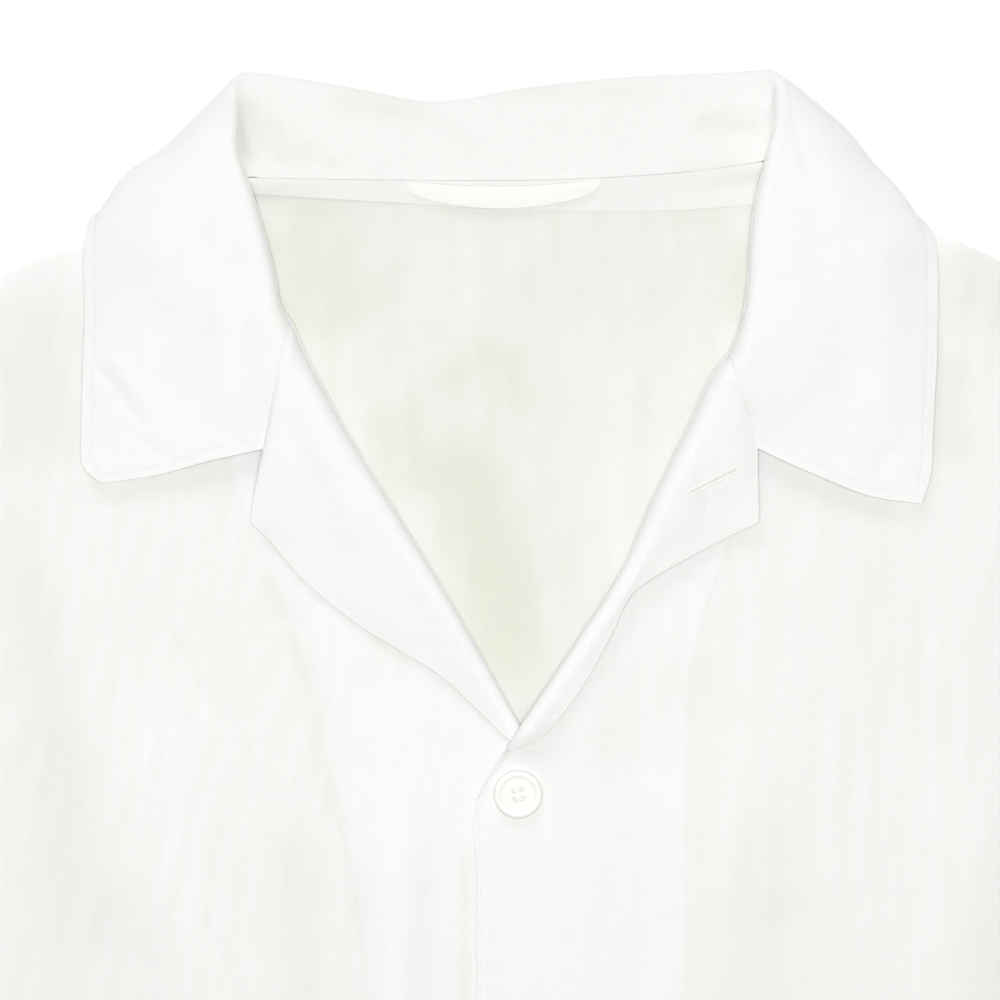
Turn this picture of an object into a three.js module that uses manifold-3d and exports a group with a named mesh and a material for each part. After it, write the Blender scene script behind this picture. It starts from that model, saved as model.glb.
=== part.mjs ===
// A shirt jacket in sheer white linen: a boxy, long-sleeved shirt with an open one-piece collar,
// lapels that roll straight out of the fronts, a hanger loop and five buttons. It lies on its back,
// buttoned, arms at its sides, with the collar rolled over and its back half tucked under the neck.
//
// Millimetres. +X is towards the wearer's left sleeve, +Y towards the neck, +Z up from the surface.
// Lengths down the garment are written as "level": 0 on the back neck seam, negative to the hem.
// Right and left are the wearer's. The left front laps over the right one.
import * as THREE from "three";
import { mergeVertices } from "three/addons/utils/BufferGeometryUtils.js";
import Module from "manifold-3d";

const wasm = await Module();
wasm.setup();

// ---------- driving sizes ----------
const BODY_LENGTH = 730; // back neck seam to hem
const COLLAR_RISE = 40; // how far the folded collar reaches above that seam
const NECK_Y = (BODY_LENGTH - COLLAR_RISE) / 2; // puts the middle of the whole length on the origin
const GAP = 0.3; // between two pieces at a seam
const CLOTH = 1; // wall of a front, facing or collar layer
const BACK_WALL = 1.2; // the back and the sleeves lie on the surface in a slightly thicker wall
const PAIR_HALF = GAP / 2 + CLOTH; // half the depth of two layers made on one surface
const BACK_Z = BACK_WALL / 2;

const SHOULDER = { x: 240, level: -54 };
const UNDERARM = { x: 275, level: -290 };
const SLEEVE_LENGTH = 600;
const SLEEVE_ANGLE = THREE.MathUtils.degToRad(26); // between the sleeve's outer edge and the body
const CUFF_WIDTH = 130;
const SLEEVE_TOP_Z = 4.2;
const SLEEVE_START_GAP = GAP + BACK_WALL / 2; // clear of the body's edge by the tube's own wall

const CENTRE_FRONT = 3; // the buttons' line
const BUTTON = { radius: 9, thick: 3, rim: 1.6, dish: 0.7, hole: 1, holeRing: 2.5, first: -230, pitch: 100,
  checks: 16 };
const BUTTON_COUNT = 5;

const SIDE_Z = 1.5; // a front's mid-surface where it meets the back at side and shoulder
const SHOULDER_Z = 2.9; // at the shoulder, where the facing reaches the seam too
const FRONT_Z = 4.6; // and over the body, clear of the facing under it
const SLANT = 0.93; // a distance along a row, taken square to the shoulder or the side
const EDGE_REACH = 26; // over which it rises from one to the other
const OVERLAP_LIFT = 3.1; // the left front over the right one
const OVERLAP_FROM = 52; // where the left front starts to rise for it
const OVERLAP_TO = 24;
const CROSSING = { x: 5, level: -205, reach: 15, lift: 4.6 }; // the lapels cross under the left roll
const ROW_LEVEL_OUT = -185; // below this level rows run straight across

// The outline of a front and of the back at the side, from the shoulder down.
const SIDE_OUTLINE = [
  { level: -54, x: 240 },
  { level: -115, x: 243 },
  { level: -175, x: 250 },
  { level: -235, x: 261 },
  { level: -290, x: 275 },
  { level: -420, x: 277 },
  { level: -730, x: 284 },
];

// The back neck seam, as it lies.
const BACK_NECK = [
  { x: -99, level: 0.6 },
  { x: -50, level: 0 },
  { x: 10, level: 0 },
  { x: 60, level: 2.4 },
  { x: 98, level: 7 },
];

// Each front by level. inner: x of its neck seam, of its roll, then of its front edge. rise and
// reach: how high and over what width the cloth curls up there, half the depth of the roll.
const RIGHT_FRONT = [
  { level: 1, inner: -99, rise: 0.8, reach: 42 },
  { level: -12, inner: -102.5, rise: 2, reach: 36 },
  { level: -26, inner: -100, rise: 3.2, reach: 26 },
  { level: -40, inner: -93.5, rise: 4.2, reach: 15 },
  { level: -53.3, inner: -82.5, rise: 7, reach: 7 },
  { level: -65.6, inner: -76.9, rise: 6.6, reach: 6.4 },
  { level: -93.8, inner: -61.9, rise: 5.6, reach: 5.8 },
  { level: -127.5, inner: -41.3, rise: 4.6, reach: 5.2 },
  { level: -151.9, inner: -26.3, rise: 4, reach: 4.6 },
  { level: -178.1, inner: -11.3, rise: 3.2, reach: 4.2 },
  { level: -205.5, inner: 3.8, rise: 1.8, reach: 3.4 },
  { level: -216, inner: 9.2, rise: 0.6, reach: 3 },
  { level: -234, inner: 18.4, rise: 0, reach: 3 },
  { level: -260, inner: 18.4, rise: 0, reach: 3 },
  { level: -730, inner: 18.4, rise: 0, reach: 3 },
];
const LEFT_FRONT = [
  { level: 7.4, inner: 98, rise: 0.8, reach: 42 },
  { level: -8, inner: 102.5, rise: 2, reach: 36 },
  { level: -26, inner: 101.5, rise: 3.2, reach: 26 },
  { level: -47, inner: 94.5, rise: 4.2, reach: 15 },
  { level: -65.6, inner: 81.8, rise: 7, reach: 7 },
  { level: -75, inner: 75, rise: 6.6, reach: 6.4 },
  { level: -91.9, inner: 67.5, rise: 5.8, reach: 6 },
  { level: -118.1, inner: 54.4, rise: 4.8, reach: 5.4 },
  { level: -148.1, inner: 41.3, rise: 3.8, reach: 4.8 },
  { level: -174.4, inner: 24.4, rise: 3.2, reach: 4.4 },
  { level: -205.5, inner: 3.8, rise: 2.2, reach: 3.4 },
  { level: -214, inner: -1.2, rise: 1, reach: 3 },
  { level: -234, inner: -12.4, rise: 0, reach: 3 },
  { level: -260, inner: -12.4, rise: 0, reach: 3 },
  { level: -730, inner: -12.4, rise: 0, reach: 3 },
];

// Each lapel's free edge, by the level of the roll it hangs from. lift: its height over the front.
const RIGHT_LAPEL = [
  { level: -53.3, edgeX: -91.9, edgeLevel: -100.9, lift: 7.5 },
  { level: -59.5, edgeX: -94.8, edgeLevel: -114.6, lift: 6.5 },
  { level: -65.6, edgeX: -97.3, edgeLevel: -128.3, lift: 5.5, corner: true },
  { level: -78.8, edgeX: -89.6, edgeLevel: -135.6, lift: 4.2 },
  { level: -93.8, edgeX: -81.6, edgeLevel: -145.2, lift: 3.8 },
  { level: -106.9, edgeX: -72.5, edgeLevel: -154.2, lift: 3.6 },
  { level: -127.5, edgeX: -58, edgeLevel: -165.8, lift: 3.4 },
  { level: -151.9, edgeX: -41.3, edgeLevel: -176.3, lift: 3.2 },
  { level: -178.1, edgeX: -24, edgeLevel: -187.3, lift: 3 },
  { level: -205.5, edgeX: 0, edgeLevel: -210, lift: 2.9 },
  { level: -216, edgeX: 9.2, edgeLevel: -216, lift: 0 },
];
const LEFT_LAPEL = [
  { level: -65.6, edgeX: 92.5, edgeLevel: -100.7, lift: 7.5 },
  { level: -71, edgeX: 92.7, edgeLevel: -114, lift: 6.5 },
  { level: -77, edgeX: 93.3, edgeLevel: -128.3, lift: 5.5, corner: true },
  { level: -91.9, edgeX: 81.5, edgeLevel: -133.7, lift: 4.2 },
  { level: -105, edgeX: 71.6, edgeLevel: -138.9, lift: 3.8 },
  { level: -118.1, edgeX: 61.5, edgeLevel: -144.3, lift: 3.6 },
  { level: -133, edgeX: 51, edgeLevel: -150.6, lift: 3.4 },
  { level: -144, edgeX: 44.6, edgeLevel: -156.2, lift: 3.3 },
  { level: -159.4, edgeX: 38.6, edgeLevel: -168.5, lift: 3.2 },
  { level: -174.4, edgeX: 31.4, edgeLevel: -182.2, lift: 3.1 },
  { level: -188.6, edgeX: 23.4, edgeLevel: -194.8, lift: 3 },
  { level: -205.5, edgeX: 11.6, edgeLevel: -208.4, lift: 2.9 },
  { level: -210.5, edgeX: 4.6, edgeLevel: -212, lift: 2.8 },
  { level: -214, edgeX: -1.2, edgeLevel: -214, lift: 0 },
];

// The facings' inner edges, 80 mm from each front edge and pulled by the roll above.
const RIGHT_FACING = [
  { level: 1, x: -134 },
  { level: -120, x: -100 },
  { level: -170, x: -81.4 },
  { level: -226, x: -67.5 },
  { level: -264, x: -58.9 },
  { level: -304, x: -54.4 },
  { level: -400, x: -61.6 },
  { level: -730, x: -61.6 },
];
const LEFT_FACING = [
  { level: 7.4, x: 132 },
  { level: -80, x: 108 },
  { level: -140, x: 80 },
  { level: -194, x: 67.5 },
  { level: -730, x: 67.5 },
];

// Soft folds of both fronts: ridges from one end to the other, fading at both.
const FRONT_FOLDS = [
  { name: "right chest, outer", from: [-168, -120], to: [-144, -300], width: 15, height: 4 },
  { name: "right chest, inner", from: [-120, -165], to: [-122, -420], width: 22, height: 5 },
  { name: "right of the placket", from: [-42, -215], to: [-40, -420], width: 15, height: 4.5 },
  { name: "right side, low", from: [-150, -380], to: [-205, -690], width: 26, height: 5 },
  { name: "right belly", from: [-78, -470], to: [-98, -720], width: 24, height: 4 },
  { name: "right under the arm", from: [-205, -230], to: [-238, -420], width: 20, height: 4 },
  { name: "left chest, outer", from: [176, -205], to: [160, -400], width: 18, height: 4.5 },
  { name: "left chest, inner", from: [94, -190], to: [60, -430], width: 20, height: 3 },
  { name: "left side, low", from: [150, -430], to: [196, -700], width: 26, height: 5 },
  { name: "left belly", from: [84, -480], to: [96, -725], width: 22, height: 4 },
  { name: "left under the arm", from: [206, -225], to: [236, -430], width: 20, height: 4 },
  { name: "left collarbone", from: [186, -70], to: [205, -150], width: 14, height: 2.5 },
];
const PLACKET_FLAT = 20; // no fold within this of the buttons' line
const PLACKET_FADE = 26;

// The collar by station, from the right front's gorge round the back neck to the left front's.
// seam, roll, fall, turn, edge: [x, level, z] across the band. lean: 0 where the roll points into the
// neck, 90 where it stands up, 180 where it points away. radius: of the roll.
const RIGHT_COLLAR = [
  { seam: [-93.5, -40], roll: [-88.3, -35.6, 14.6], lean: 10, radius: 4.4,
    fall: [-116, -38, 18], turn: [-141, -44, 14], edge: [-159, -48.5, 9.4] },
  { seam: [-100, -26], roll: [-92.6, -19.5, 17], lean: 18, radius: 4.2,
    fall: [-119, -22, 19.6], turn: [-143, -28, 15.4], edge: [-159.4, -31.5, 10.4] },
  { seam: [-102.5, -12], roll: [-97.2, -5, 18.6], lean: 30, radius: 4,
    fall: [-120.5, -5, 20], turn: [-146, -9.5, 14.4], edge: [-158, -16.5, 9.2] },
  { seam: [-101.5, -4], roll: [-102.2, 7, 19], lean: 52, radius: 3.6,
    fall: [-121, 7, 18], turn: [-143.5, 2, 9.6], edge: [-151, -10, 3.2] },
  { seam: [-98.5, 0.6, 9.2], roll: [-103.6, 18, 18], lean: 72, radius: 2.8,
    fall: [-118.5, 16.6, 14.8], turn: [-134.5, 8.6, 6.5], edge: [-138, -12, 1.15] },
  { seam: [-93, 0.6, 7.6], roll: [-104.2, 28, 14], lean: 96, radius: 2.4,
    fall: [-114, 26, 9], turn: [-124, 17.5, 4.5], edge: [-126, -12, 1.15] },
  { seam: [-87, 0.5, 7.2], roll: [-104.4, 35.4, 11.4], lean: 116, radius: 2.2,
    fall: [-110.8, 31.5, 5.8], turn: [-116.6, 24, 2.7], edge: [-117, -11.5, 1.15] },
  { seam: [-80, 0.4, 6.6], roll: [-101, 39.4, 8.5], lean: 138, radius: 2.4,
    fall: [-105.5, 34.6, 2.9], turn: [-108, 20, 1.4], edge: [-108.5, -11, 1.15] },
];
const BACK_COLLAR = [
  { seam: [-63, 0.2, 5.6], roll: [-84, 38.8, 5], lean: 168, radius: 2.8 },
  { seam: [-44, 0, 5], roll: [-57, 34.2, 4.2], lean: 180, radius: 3 },
  { seam: [-20, 0, 4.8], roll: [-28, 29.6, 4.15], lean: 180, radius: 3 },
  { seam: [10, 0, 4.8], roll: [8, 35, 4.15], lean: 180, radius: 3 },
  { seam: [42, 1.5, 5], roll: [45, 38.8, 4.2], lean: 180, radius: 3 },
  { seam: [68, 3.2, 5.6], roll: [74, 40, 4.6], lean: 172, radius: 3 },
];
const LEFT_COLLAR = [
  { seam: [84, 5, 6.6], roll: [92, 40.6, 7], lean: 150, radius: 2.8,
    fall: [96.5, 32, 1.9], turn: [99.5, 18, 1.2], edge: [104, -8, 1.15] },
  { seam: [88, 5.6, 7.1], roll: [97.4, 40.4, 9], lean: 132, radius: 2.6,
    fall: [103, 33.6, 3.4], turn: [107.5, 22.5, 1.9], edge: [111, -8.5, 1.15] },
  { seam: [92, 6.2, 7.6], roll: [101.2, 38, 11], lean: 115, radius: 2.6,
    fall: [109, 34, 5.2], turn: [115.5, 26.5, 3], edge: [119, -9, 1.15] },
  { seam: [97.5, 7.5, 9.2], roll: [101.8, 26.5, 16], lean: 80, radius: 3,
    fall: [115, 25.5, 11.6], turn: [126.5, 19, 5.5], edge: [132.5, -10, 1.15] },
  { seam: [101.5, 2.5], roll: [98.6, 13, 18.4], lean: 58, radius: 3.6,
    fall: [117.5, 13, 16.5], turn: [136.5, 6.5, 8], edge: [145, -9.5, 1.8] },
  { seam: [102.5, -8], roll: [94.8, 0, 18.6], lean: 40, radius: 4,
    fall: [119, 0, 19], turn: [146, -5.5, 11], edge: [153, -13.5, 6] },
  { seam: [102.3, -20], roll: [91.6, -12, 18], lean: 26, radius: 4.2,
    fall: [119, -13, 19.6], turn: [145.5, -18, 15], edge: [158.6, -21.5, 10] },
  { seam: [100, -32], roll: [90, -26, 16.6], lean: 18, radius: 4.2,
    fall: [119, -28, 18.6], turn: [145, -33, 14.8], edge: [160, -36, 10.2] },
  { seam: [94.5, -47], roll: [88.6, -44, 14.6], lean: 10, radius: 4.4,
    fall: [117, -46, 17], turn: [143, -51, 13.6], edge: [160, -53, 9.2] },
];
// Where a back station's fall lies, tucked under the neck: level of each point, on the surface.
const TUCKED = { fall: 15, turn: 3, edge: -10 };

// The collar's leaves along each gorge: share 0 at the roll, 1 at the notch.
const RIGHT_LEAF = [
  { share: 1, fall: [-112, -105.2, 12.4], turn: [-133, -110.8, 11], edge: [-153.2, -113.6, 10.5] },
  { share: 0.72, fall: [-117, -94, 12.2], turn: [-141, -101, 10.6], edge: [-160, -107, 9.6] },
  { share: 0.45, fall: [-117, -81, 12.8], turn: [-142, -88, 11], edge: [-160.6, -95, 9.2] },
  { share: 0.2, fall: [-116, -68, 14], turn: [-141, -75, 12], edge: [-160.2, -80, 9.2] },
  { share: 0, fall: [-113, -54, 16.2], turn: [-140, -60, 12.8], edge: [-159.7, -65, 9.4] },
];
const LEFT_LEAF = [
  { share: 0, fall: [113, -64, 15.4], turn: [141, -68, 12.4], edge: [159.7, -70, 9.4] },
  { share: 0.2, fall: [116, -76, 13.8], turn: [141, -81, 11.6], edge: [159, -83, 9.2] },
  { share: 0.45, fall: [118, -88, 12.8], turn: [141, -94, 11], edge: [158.3, -96, 9.2] },
  { share: 0.72, fall: [118, -99, 12.2], turn: [140, -107, 10.6], edge: [157.6, -110, 9.6] },
  { share: 1, fall: [112, -109.5, 12.4], turn: [134, -118.2, 11], edge: [154, -121.4, 10.5] },
];

// How finely each surface is divided.
const ROWS_ABOVE = 4;
const ROW_SPACING = 20; // over the lapel
const ROWS_BELOW = 10;
const COLUMNS = { body: 8, facing: 3, curl: 2, lapel: 3 };
const BAND = { stand: 2, curl: 3, fall: 6 };
const SLEEVE_ROWS = 11;
// Levels, at the side, at which the back and the sleeves have their rows and columns.
const ARMHOLE_LEVELS = [-54, -84, -115, -145, -175, -205, -235, -263, -290];
const SIDE_LEVELS = [-345, -410, -490, -570, -650, -730];

const FABRIC = { color: 0xf4f5f1, roughness: 0.92, metalness: 0, side: THREE.DoubleSide };
const NACRE = { color: 0xf1f0ea, roughness: 0.28, metalness: 0 };

// ---------- small maths ----------
const lerp = THREE.MathUtils.lerp;
const clamp01 = (t) => Math.min(1, Math.max(0, t));
const ease = (t) => clamp01(t) ** 2 * (3 - 2 * clamp01(t));
const quarterRound = (t) => Math.sqrt(1 - (1 - clamp01(t)) ** 2); // a quarter circle, steep first
const at = (x, level, z) => new THREE.Vector3(x, level + NECK_Y, z);
const steps = (count) => Array.from({ length: count + 1 }, (_, i) => i / count);

// A smooth curve through one column of a table that is sorted by its key; straight to either side
// of a row marked as a corner.
function columnOf(table, key, name) {
  const k = table.map((row) => row[key]);
  const y = table.map((row) => row[name]);
  const slope = (a, b) => (y[b] - y[a]) / (k[b] - k[a]);
  const last = table.length - 1;
  return (value) => {
    const forwards = k[last] > k[0];
    let i = 0;
    while (i < last - 1 && (forwards ? value > k[i + 1] : value < k[i + 1])) i += 1;
    const span = k[i + 1] - k[i];
    const t = clamp01((value - k[i]) / span);
    const here = slope(i, i + 1);
    const entering = i === 0 || table[i].corner ? here : slope(i - 1, i + 1);
    const leaving = i + 1 === last || table[i + 1].corner ? here : slope(i, i + 2);
    return THREE.MathUtils.lerp(y[i], y[i + 1], t * t * (3 - 2 * t))
      + span * (entering * t * (1 - t) ** 2 - leaving * t * t * (1 - t));
  };
}

const sideX = columnOf(SIDE_OUTLINE, "level", "x");
const backNeckLevel = columnOf(BACK_NECK, "x", "level");

// ---------- one cloth surface, and walls made from it ----------
// A cloth surface is a welded mesh made from grids of points that share their common edges.
function surface(grids) {
  const triangles = [];
  for (const grid of grids) {
    for (let i = 0; i + 1 < grid.length; i += 1) {
      for (let j = 0; j + 1 < grid[i].length; j += 1) {
        const [a, b, c, d] = [grid[i][j], grid[i + 1][j], grid[i + 1][j + 1], grid[i][j + 1]];
        triangles.push(a, b, c, a, c, d);
      }
    }
  }
  const soup = new THREE.BufferGeometry().setFromPoints(triangles);
  const welded = mergeVertices(soup, 1e-3);
  const corners = welded.index.array;
  const kept = [];
  for (let t = 0; t < corners.length; t += 3) {
    const [a, b, c] = corners.slice(t, t + 3);
    if (a !== b && b !== c && c !== a) kept.push(a, b, c);
  }
  welded.setIndex(kept);
  welded.computeVertexNormals();
  return welded;
}

// The closed wall between two distances from a surface, measured along its normals.
function wall(cloth, from, to) {
  const place = cloth.getAttribute("position");
  const normal = cloth.getAttribute("normal");
  const count = place.count;
  const points = new Float32Array(count * 6);
  for (let v = 0; v < count; v += 1) {
    for (const [layer, distance] of [[0, from], [1, to]]) {
      const base = (layer * count + v) * 3;
      points[base] = place.getX(v) + normal.getX(v) * distance;
      points[base + 1] = place.getY(v) + normal.getY(v) * distance;
      points[base + 2] = place.getZ(v) + normal.getZ(v) * distance;
    }
  }
  const corners = cloth.index.array;
  const faces = [];
  const open = new Map();
  for (let t = 0; t < corners.length; t += 3) {
    const [a, b, c] = corners.slice(t, t + 3);
    faces.push(a + count, b + count, c + count, a, c, b);
    for (const [p, q] of [[a, b], [b, c], [c, a]]) {
      if (open.has(`${q}/${p}`)) open.delete(`${q}/${p}`);
      else open.set(`${p}/${q}`, [p, q]);
    }
  }
  for (const [p, q] of open.values()) faces.push(p, q, q + count, p, q + count, p + count);
  const solid = new THREE.BufferGeometry();
  solid.setAttribute("position", new THREE.BufferAttribute(points, 3));
  solid.setIndex(faces);
  return solid;
}

// A piece is in one or two of the walls made on a surface: over it, under it, or around it.
const overSurface = (cloth) => wall(cloth, GAP / 2, PAIR_HALF);
const underSurface = (cloth) => wall(cloth, -PAIR_HALF, -GAP / 2);
const aroundSurface = (cloth, thick) => wall(cloth, -thick / 2, thick / 2);

function piece(name, geometry, finish) {
  geometry.computeVertexNormals();
  const mesh = new THREE.Mesh(geometry, new THREE.MeshStandardMaterial(finish));
  mesh.name = name;
  return mesh;
}

// ---------- heights ----------
// A soft ridge: a bell across it, fading along it to both ends.
function ridge(x, level, { from, to, width, height }) {
  const along = [to[0] - from[0], to[1] - from[1]];
  const length = Math.hypot(...along);
  const t = ((x - from[0]) * along[0] + (level - from[1]) * along[1]) / length ** 2;
  const aside = ((x - from[0]) * along[1] - (level - from[1]) * along[0]) / length;
  return height * Math.exp(-((aside / width) ** 2)) * ease(4 * t) * ease(4 * (1 - t));
}

function foldHeight(x, level) {
  const free = ease((Math.abs(x - CENTRE_FRONT) - PLACKET_FLAT) / PLACKET_FADE);
  return free * FRONT_FOLDS.reduce((sum, fold) => sum + ridge(x, level, fold), 0);
}

// The lift that takes the left front over the right one.
function overlapLift(x, level) {
  const across = ease((OVERLAP_FROM - x) / (OVERLAP_FROM - OVERLAP_TO));
  const away = Math.hypot(x - CROSSING.x, level - CROSSING.level) / CROSSING.reach;
  return OVERLAP_LIFT * across + CROSSING.lift * Math.exp(-(away ** 2));
}

// The back lies flat and steps up over the collar that is tucked under its neck.
const BACK_STEP = { rise: 3.1, from: -52, to: -24, outer: 188, inner: 168 };
function backHeight(x, level) {
  const down = ease((level - BACK_STEP.from) / (BACK_STEP.to - BACK_STEP.from));
  const across = ease((BACK_STEP.outer - Math.abs(x)) / (BACK_STEP.outer - BACK_STEP.inner));
  return BACK_Z + BACK_STEP.rise * down * across;
}

// ---------- fronts and facings ----------
class Front {
  constructor(side, table, lapelTable, facingTable) {
    this.side = side;
    this.top = table[0].level;
    this.kink = lapelTable[0].level;
    this.breakLevel = lapelTable[lapelTable.length - 1].level;
    this.inner = columnOf(table, "level", "inner");
    this.rise = columnOf(table, "level", "rise");
    this.reach = columnOf(table, "level", "reach");
    this.edgeX = columnOf(lapelTable, "level", "edgeX");
    this.edgeLevel = columnOf(lapelTable, "level", "edgeLevel");
    this.lift = columnOf(lapelTable, "level", "lift");
    this.facingX = columnOf(facingTable, "level", "x");
    this.lapelLevels = lapelTable.map((row) => row.level);
  }

  // Height of the flat part, clear of the curl at the inner edge. fromSide and fromShoulder: how
  // far the point lies from those edges.
  height(x, level, fromSide = EDGE_REACH, fromShoulder = EDGE_REACH) {
    const bySide = lerp(SIDE_Z, FRONT_Z, quarterRound(fromSide / EDGE_REACH));
    const byShoulder = lerp(SHOULDER_Z, FRONT_Z, quarterRound(fromShoulder / EDGE_REACH));
    const lying = Math.min(bySide, byShoulder);
    const folds = foldHeight(x, level) * ease(Math.min(fromSide, fromShoulder) / EDGE_REACH);
    const step = backHeight(x, level) - BACK_Z;
    return lying + folds + step + (this.side > 0 ? overlapLift(x, level) : 0);
  }

  // Level of the side end of the row that meets the inner edge at a level.
  outerLevel(level) {
    const drop = this.top - SHOULDER.level;
    return level - drop * ease((level - ROW_LEVEL_OUT) / (this.top - ROW_LEVEL_OUT));
  }

  curl(level, inward) {
    return this.rise(level) * (1 - quarterRound(inward / this.reach(level)));
  }

  // Distances from the inner edge at which a row has its columns, from the side inwards.
  bodyRow(level) {
    const outer = new THREE.Vector2(this.side * sideX(this.outerLevel(level)), this.outerLevel(level));
    const inner = new THREE.Vector2(this.inner(level), level);
    const width = outer.distanceTo(inner);
    const facing = clamp01((this.facingX(level) - inner.x) / (outer.x - inner.x)) * width;
    const reach = Math.min(this.reach(level), facing * 0.8);
    const distances = [
      ...steps(COLUMNS.body).slice(0, -1).map((t) => lerp(width, facing, t ** 1.25)),
      ...steps(COLUMNS.facing).slice(0, -1).map((t) => lerp(facing, reach, t)),
      ...steps(COLUMNS.curl).map((t) => reach * (1 - Math.sin((t * Math.PI) / 2))),
    ];
    return distances.map((d) => {
      const p = inner.clone().lerp(outer, d / width);
      const z = this.height(p.x, p.y, SLANT * (width - d), SLANT * (this.top - level));
      return at(p.x, p.y, z + this.curl(level, d));
    });
  }

  // The roll's reach measured along a lapel row, which may leave the roll at a slant.
  lapelReach(level) {
    const roll = new THREE.Vector2(this.inner(level) - this.inner(level - 4), 4);
    const row = new THREE.Vector2(this.edgeX(level) - this.inner(level), this.edgeLevel(level) - level);
    const slant = Math.abs(roll.cross(row)) / (roll.length() * Math.max(row.length(), 1e-6));
    return this.reach(level) / Math.max(slant, 0.3);
  }

  // A point of the lapel: share 0 on the roll, 1 on its free edge.
  lapelPoint(level, share) {
    const roll = new THREE.Vector2(this.inner(level), level);
    const edge = new THREE.Vector2(this.edgeX(level), this.edgeLevel(level));
    const width = roll.distanceTo(edge);
    const out = share * width;
    const p = roll.clone().lerp(edge, share);
    const rise = this.rise(level);
    const reach = this.lapelReach(level);
    const settle = width > reach ? ease((out - reach) / (width - reach)) : 0;
    const over = lerp(rise * (1 + quarterRound(out / reach)), Math.min(this.lift(level), 2 * rise), settle);
    return at(p.x, p.y, this.height(p.x, p.y) + over);
  }

  lapelRow(level) {
    const width = Math.hypot(this.inner(level) - this.edgeX(level), level - this.edgeLevel(level));
    const turned = width > 0 ? Math.min(0.5, this.lapelReach(level) / width) : 0;
    const shares = [
      ...steps(COLUMNS.curl).map((t) => turned * (1 - Math.cos((t * Math.PI) / 2))),
      ...steps(COLUMNS.lapel).slice(1).map((t) => lerp(turned, 1, t)),
    ];
    return shares.map((share) => this.lapelPoint(level, share));
  }

  levelsBetween(start, end, count) {
    return steps(count).map((t) => lerp(start, end, t));
  }

  // The rows from shoulder to hem; the lapel's are its own table's and those half-way between.
  levels() {
    const along = this.lapelLevels.flatMap((level, i, all) =>
      i + 1 < all.length && Math.abs(all[i + 1] - level) > ROW_SPACING
        ? [level, (level + all[i + 1]) / 2]
        : [level]);
    return {
      above: this.levelsBetween(this.top, this.kink, ROWS_ABOVE),
      lapel: along,
      below: steps(ROWS_BELOW).map((t) => lerp(this.breakLevel, -BODY_LENGTH, t ** 1.5)),
    };
  }

  // The body's grid and the lapel's, which meet along the roll. Rows run from the side inwards.
  grids() {
    const { above, lapel, below } = this.levels();
    const rows = [...above, ...lapel.slice(1), ...below.slice(1)].map((level) => this.bodyRow(level));
    const lapelRows = lapel.map((level) => this.lapelRow(level));
    lapelRows.forEach((row, i) => {
      const bodyRow = rows[ROWS_ABOVE + i];
      row[0] = bodyRow[bodyRow.length - 1];
    });
    return { rows, lapelRows };
  }

  // Turned so that the surface's normal is the face the wearer feels: the facing's side.
  oriented(grid) {
    return this.side > 0 ? grid : grid.map((row) => [...row]).reverse();
  }

  front() {
    const { rows, lapelRows } = this.grids();
    return surface([this.oriented(rows), this.oriented(lapelRows)]);
  }

  // The facing follows the front from its own inner edge to the lapel's free edge.
  facing() {
    const { rows, lapelRows } = this.grids();
    const inside = rows.map((row) => row.slice(COLUMNS.body));
    return surface([this.oriented(inside), this.oriented(lapelRows)]);
  }
}

const rightFront = new Front(-1, RIGHT_FRONT, RIGHT_LAPEL, RIGHT_FACING);
const leftFront = new Front(1, LEFT_FRONT, LEFT_LAPEL, LEFT_FACING);

// ---------- back ----------
const NECK_HALF = 98;
const NECK_SHARE = NECK_HALF / SHOULDER.x; // of the half width, where neck meets shoulder
const BACK_COLUMNS = [0, 0.14, 0.28, NECK_SHARE, 0.55, 0.7, 0.85, 1];

// A row starts at a level on one side and rises to the neck in the middle, less and less so lower
// down; share is -1 at the right side and 1 at the left.
function backPoint(sideLevel, share) {
  const beyond = clamp01((Math.abs(share) - NECK_SHARE) / (1 - NECK_SHARE));
  const slope = ease((sideLevel - ROW_LEVEL_OUT) / (SHOULDER.level - ROW_LEVEL_OUT));
  const x = share * sideX(sideLevel);
  const neck = backNeckLevel(THREE.MathUtils.clamp(x, -NECK_HALF, NECK_HALF)) - GAP;
  const level = sideLevel + (neck - SHOULDER.level) * (1 - beyond) * slope;
  return at(x, level, backHeight(x, level));
}

function back() {
  const shares = [...BACK_COLUMNS.slice(1).map((s) => -s).reverse(), ...BACK_COLUMNS];
  const rows = [...ARMHOLE_LEVELS, ...SIDE_LEVELS].map((level) =>
    shares.map((share) => backPoint(level, share)).reverse());
  return aroundSurface(surface([rows]), BACK_WALL);
}

// ---------- collar ----------
const asPoint = ([x, level, z]) => at(x, level, z);

// Where a collar station's seam meets a front's neck edge: just over that edge.
function frontSeam(front, [x, level]) {
  const lying = front.height(x, level, EDGE_REACH, SLANT * (front.top - level));
  return at(x, level, lying + front.rise(level) + 2 * PAIR_HALF + GAP);
}

// No collar cloth dips into the surface it lies on.
function onSurface(p) {
  return new THREE.Vector3(p.x, p.y, Math.max(p.z, PAIR_HALF));
}

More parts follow.
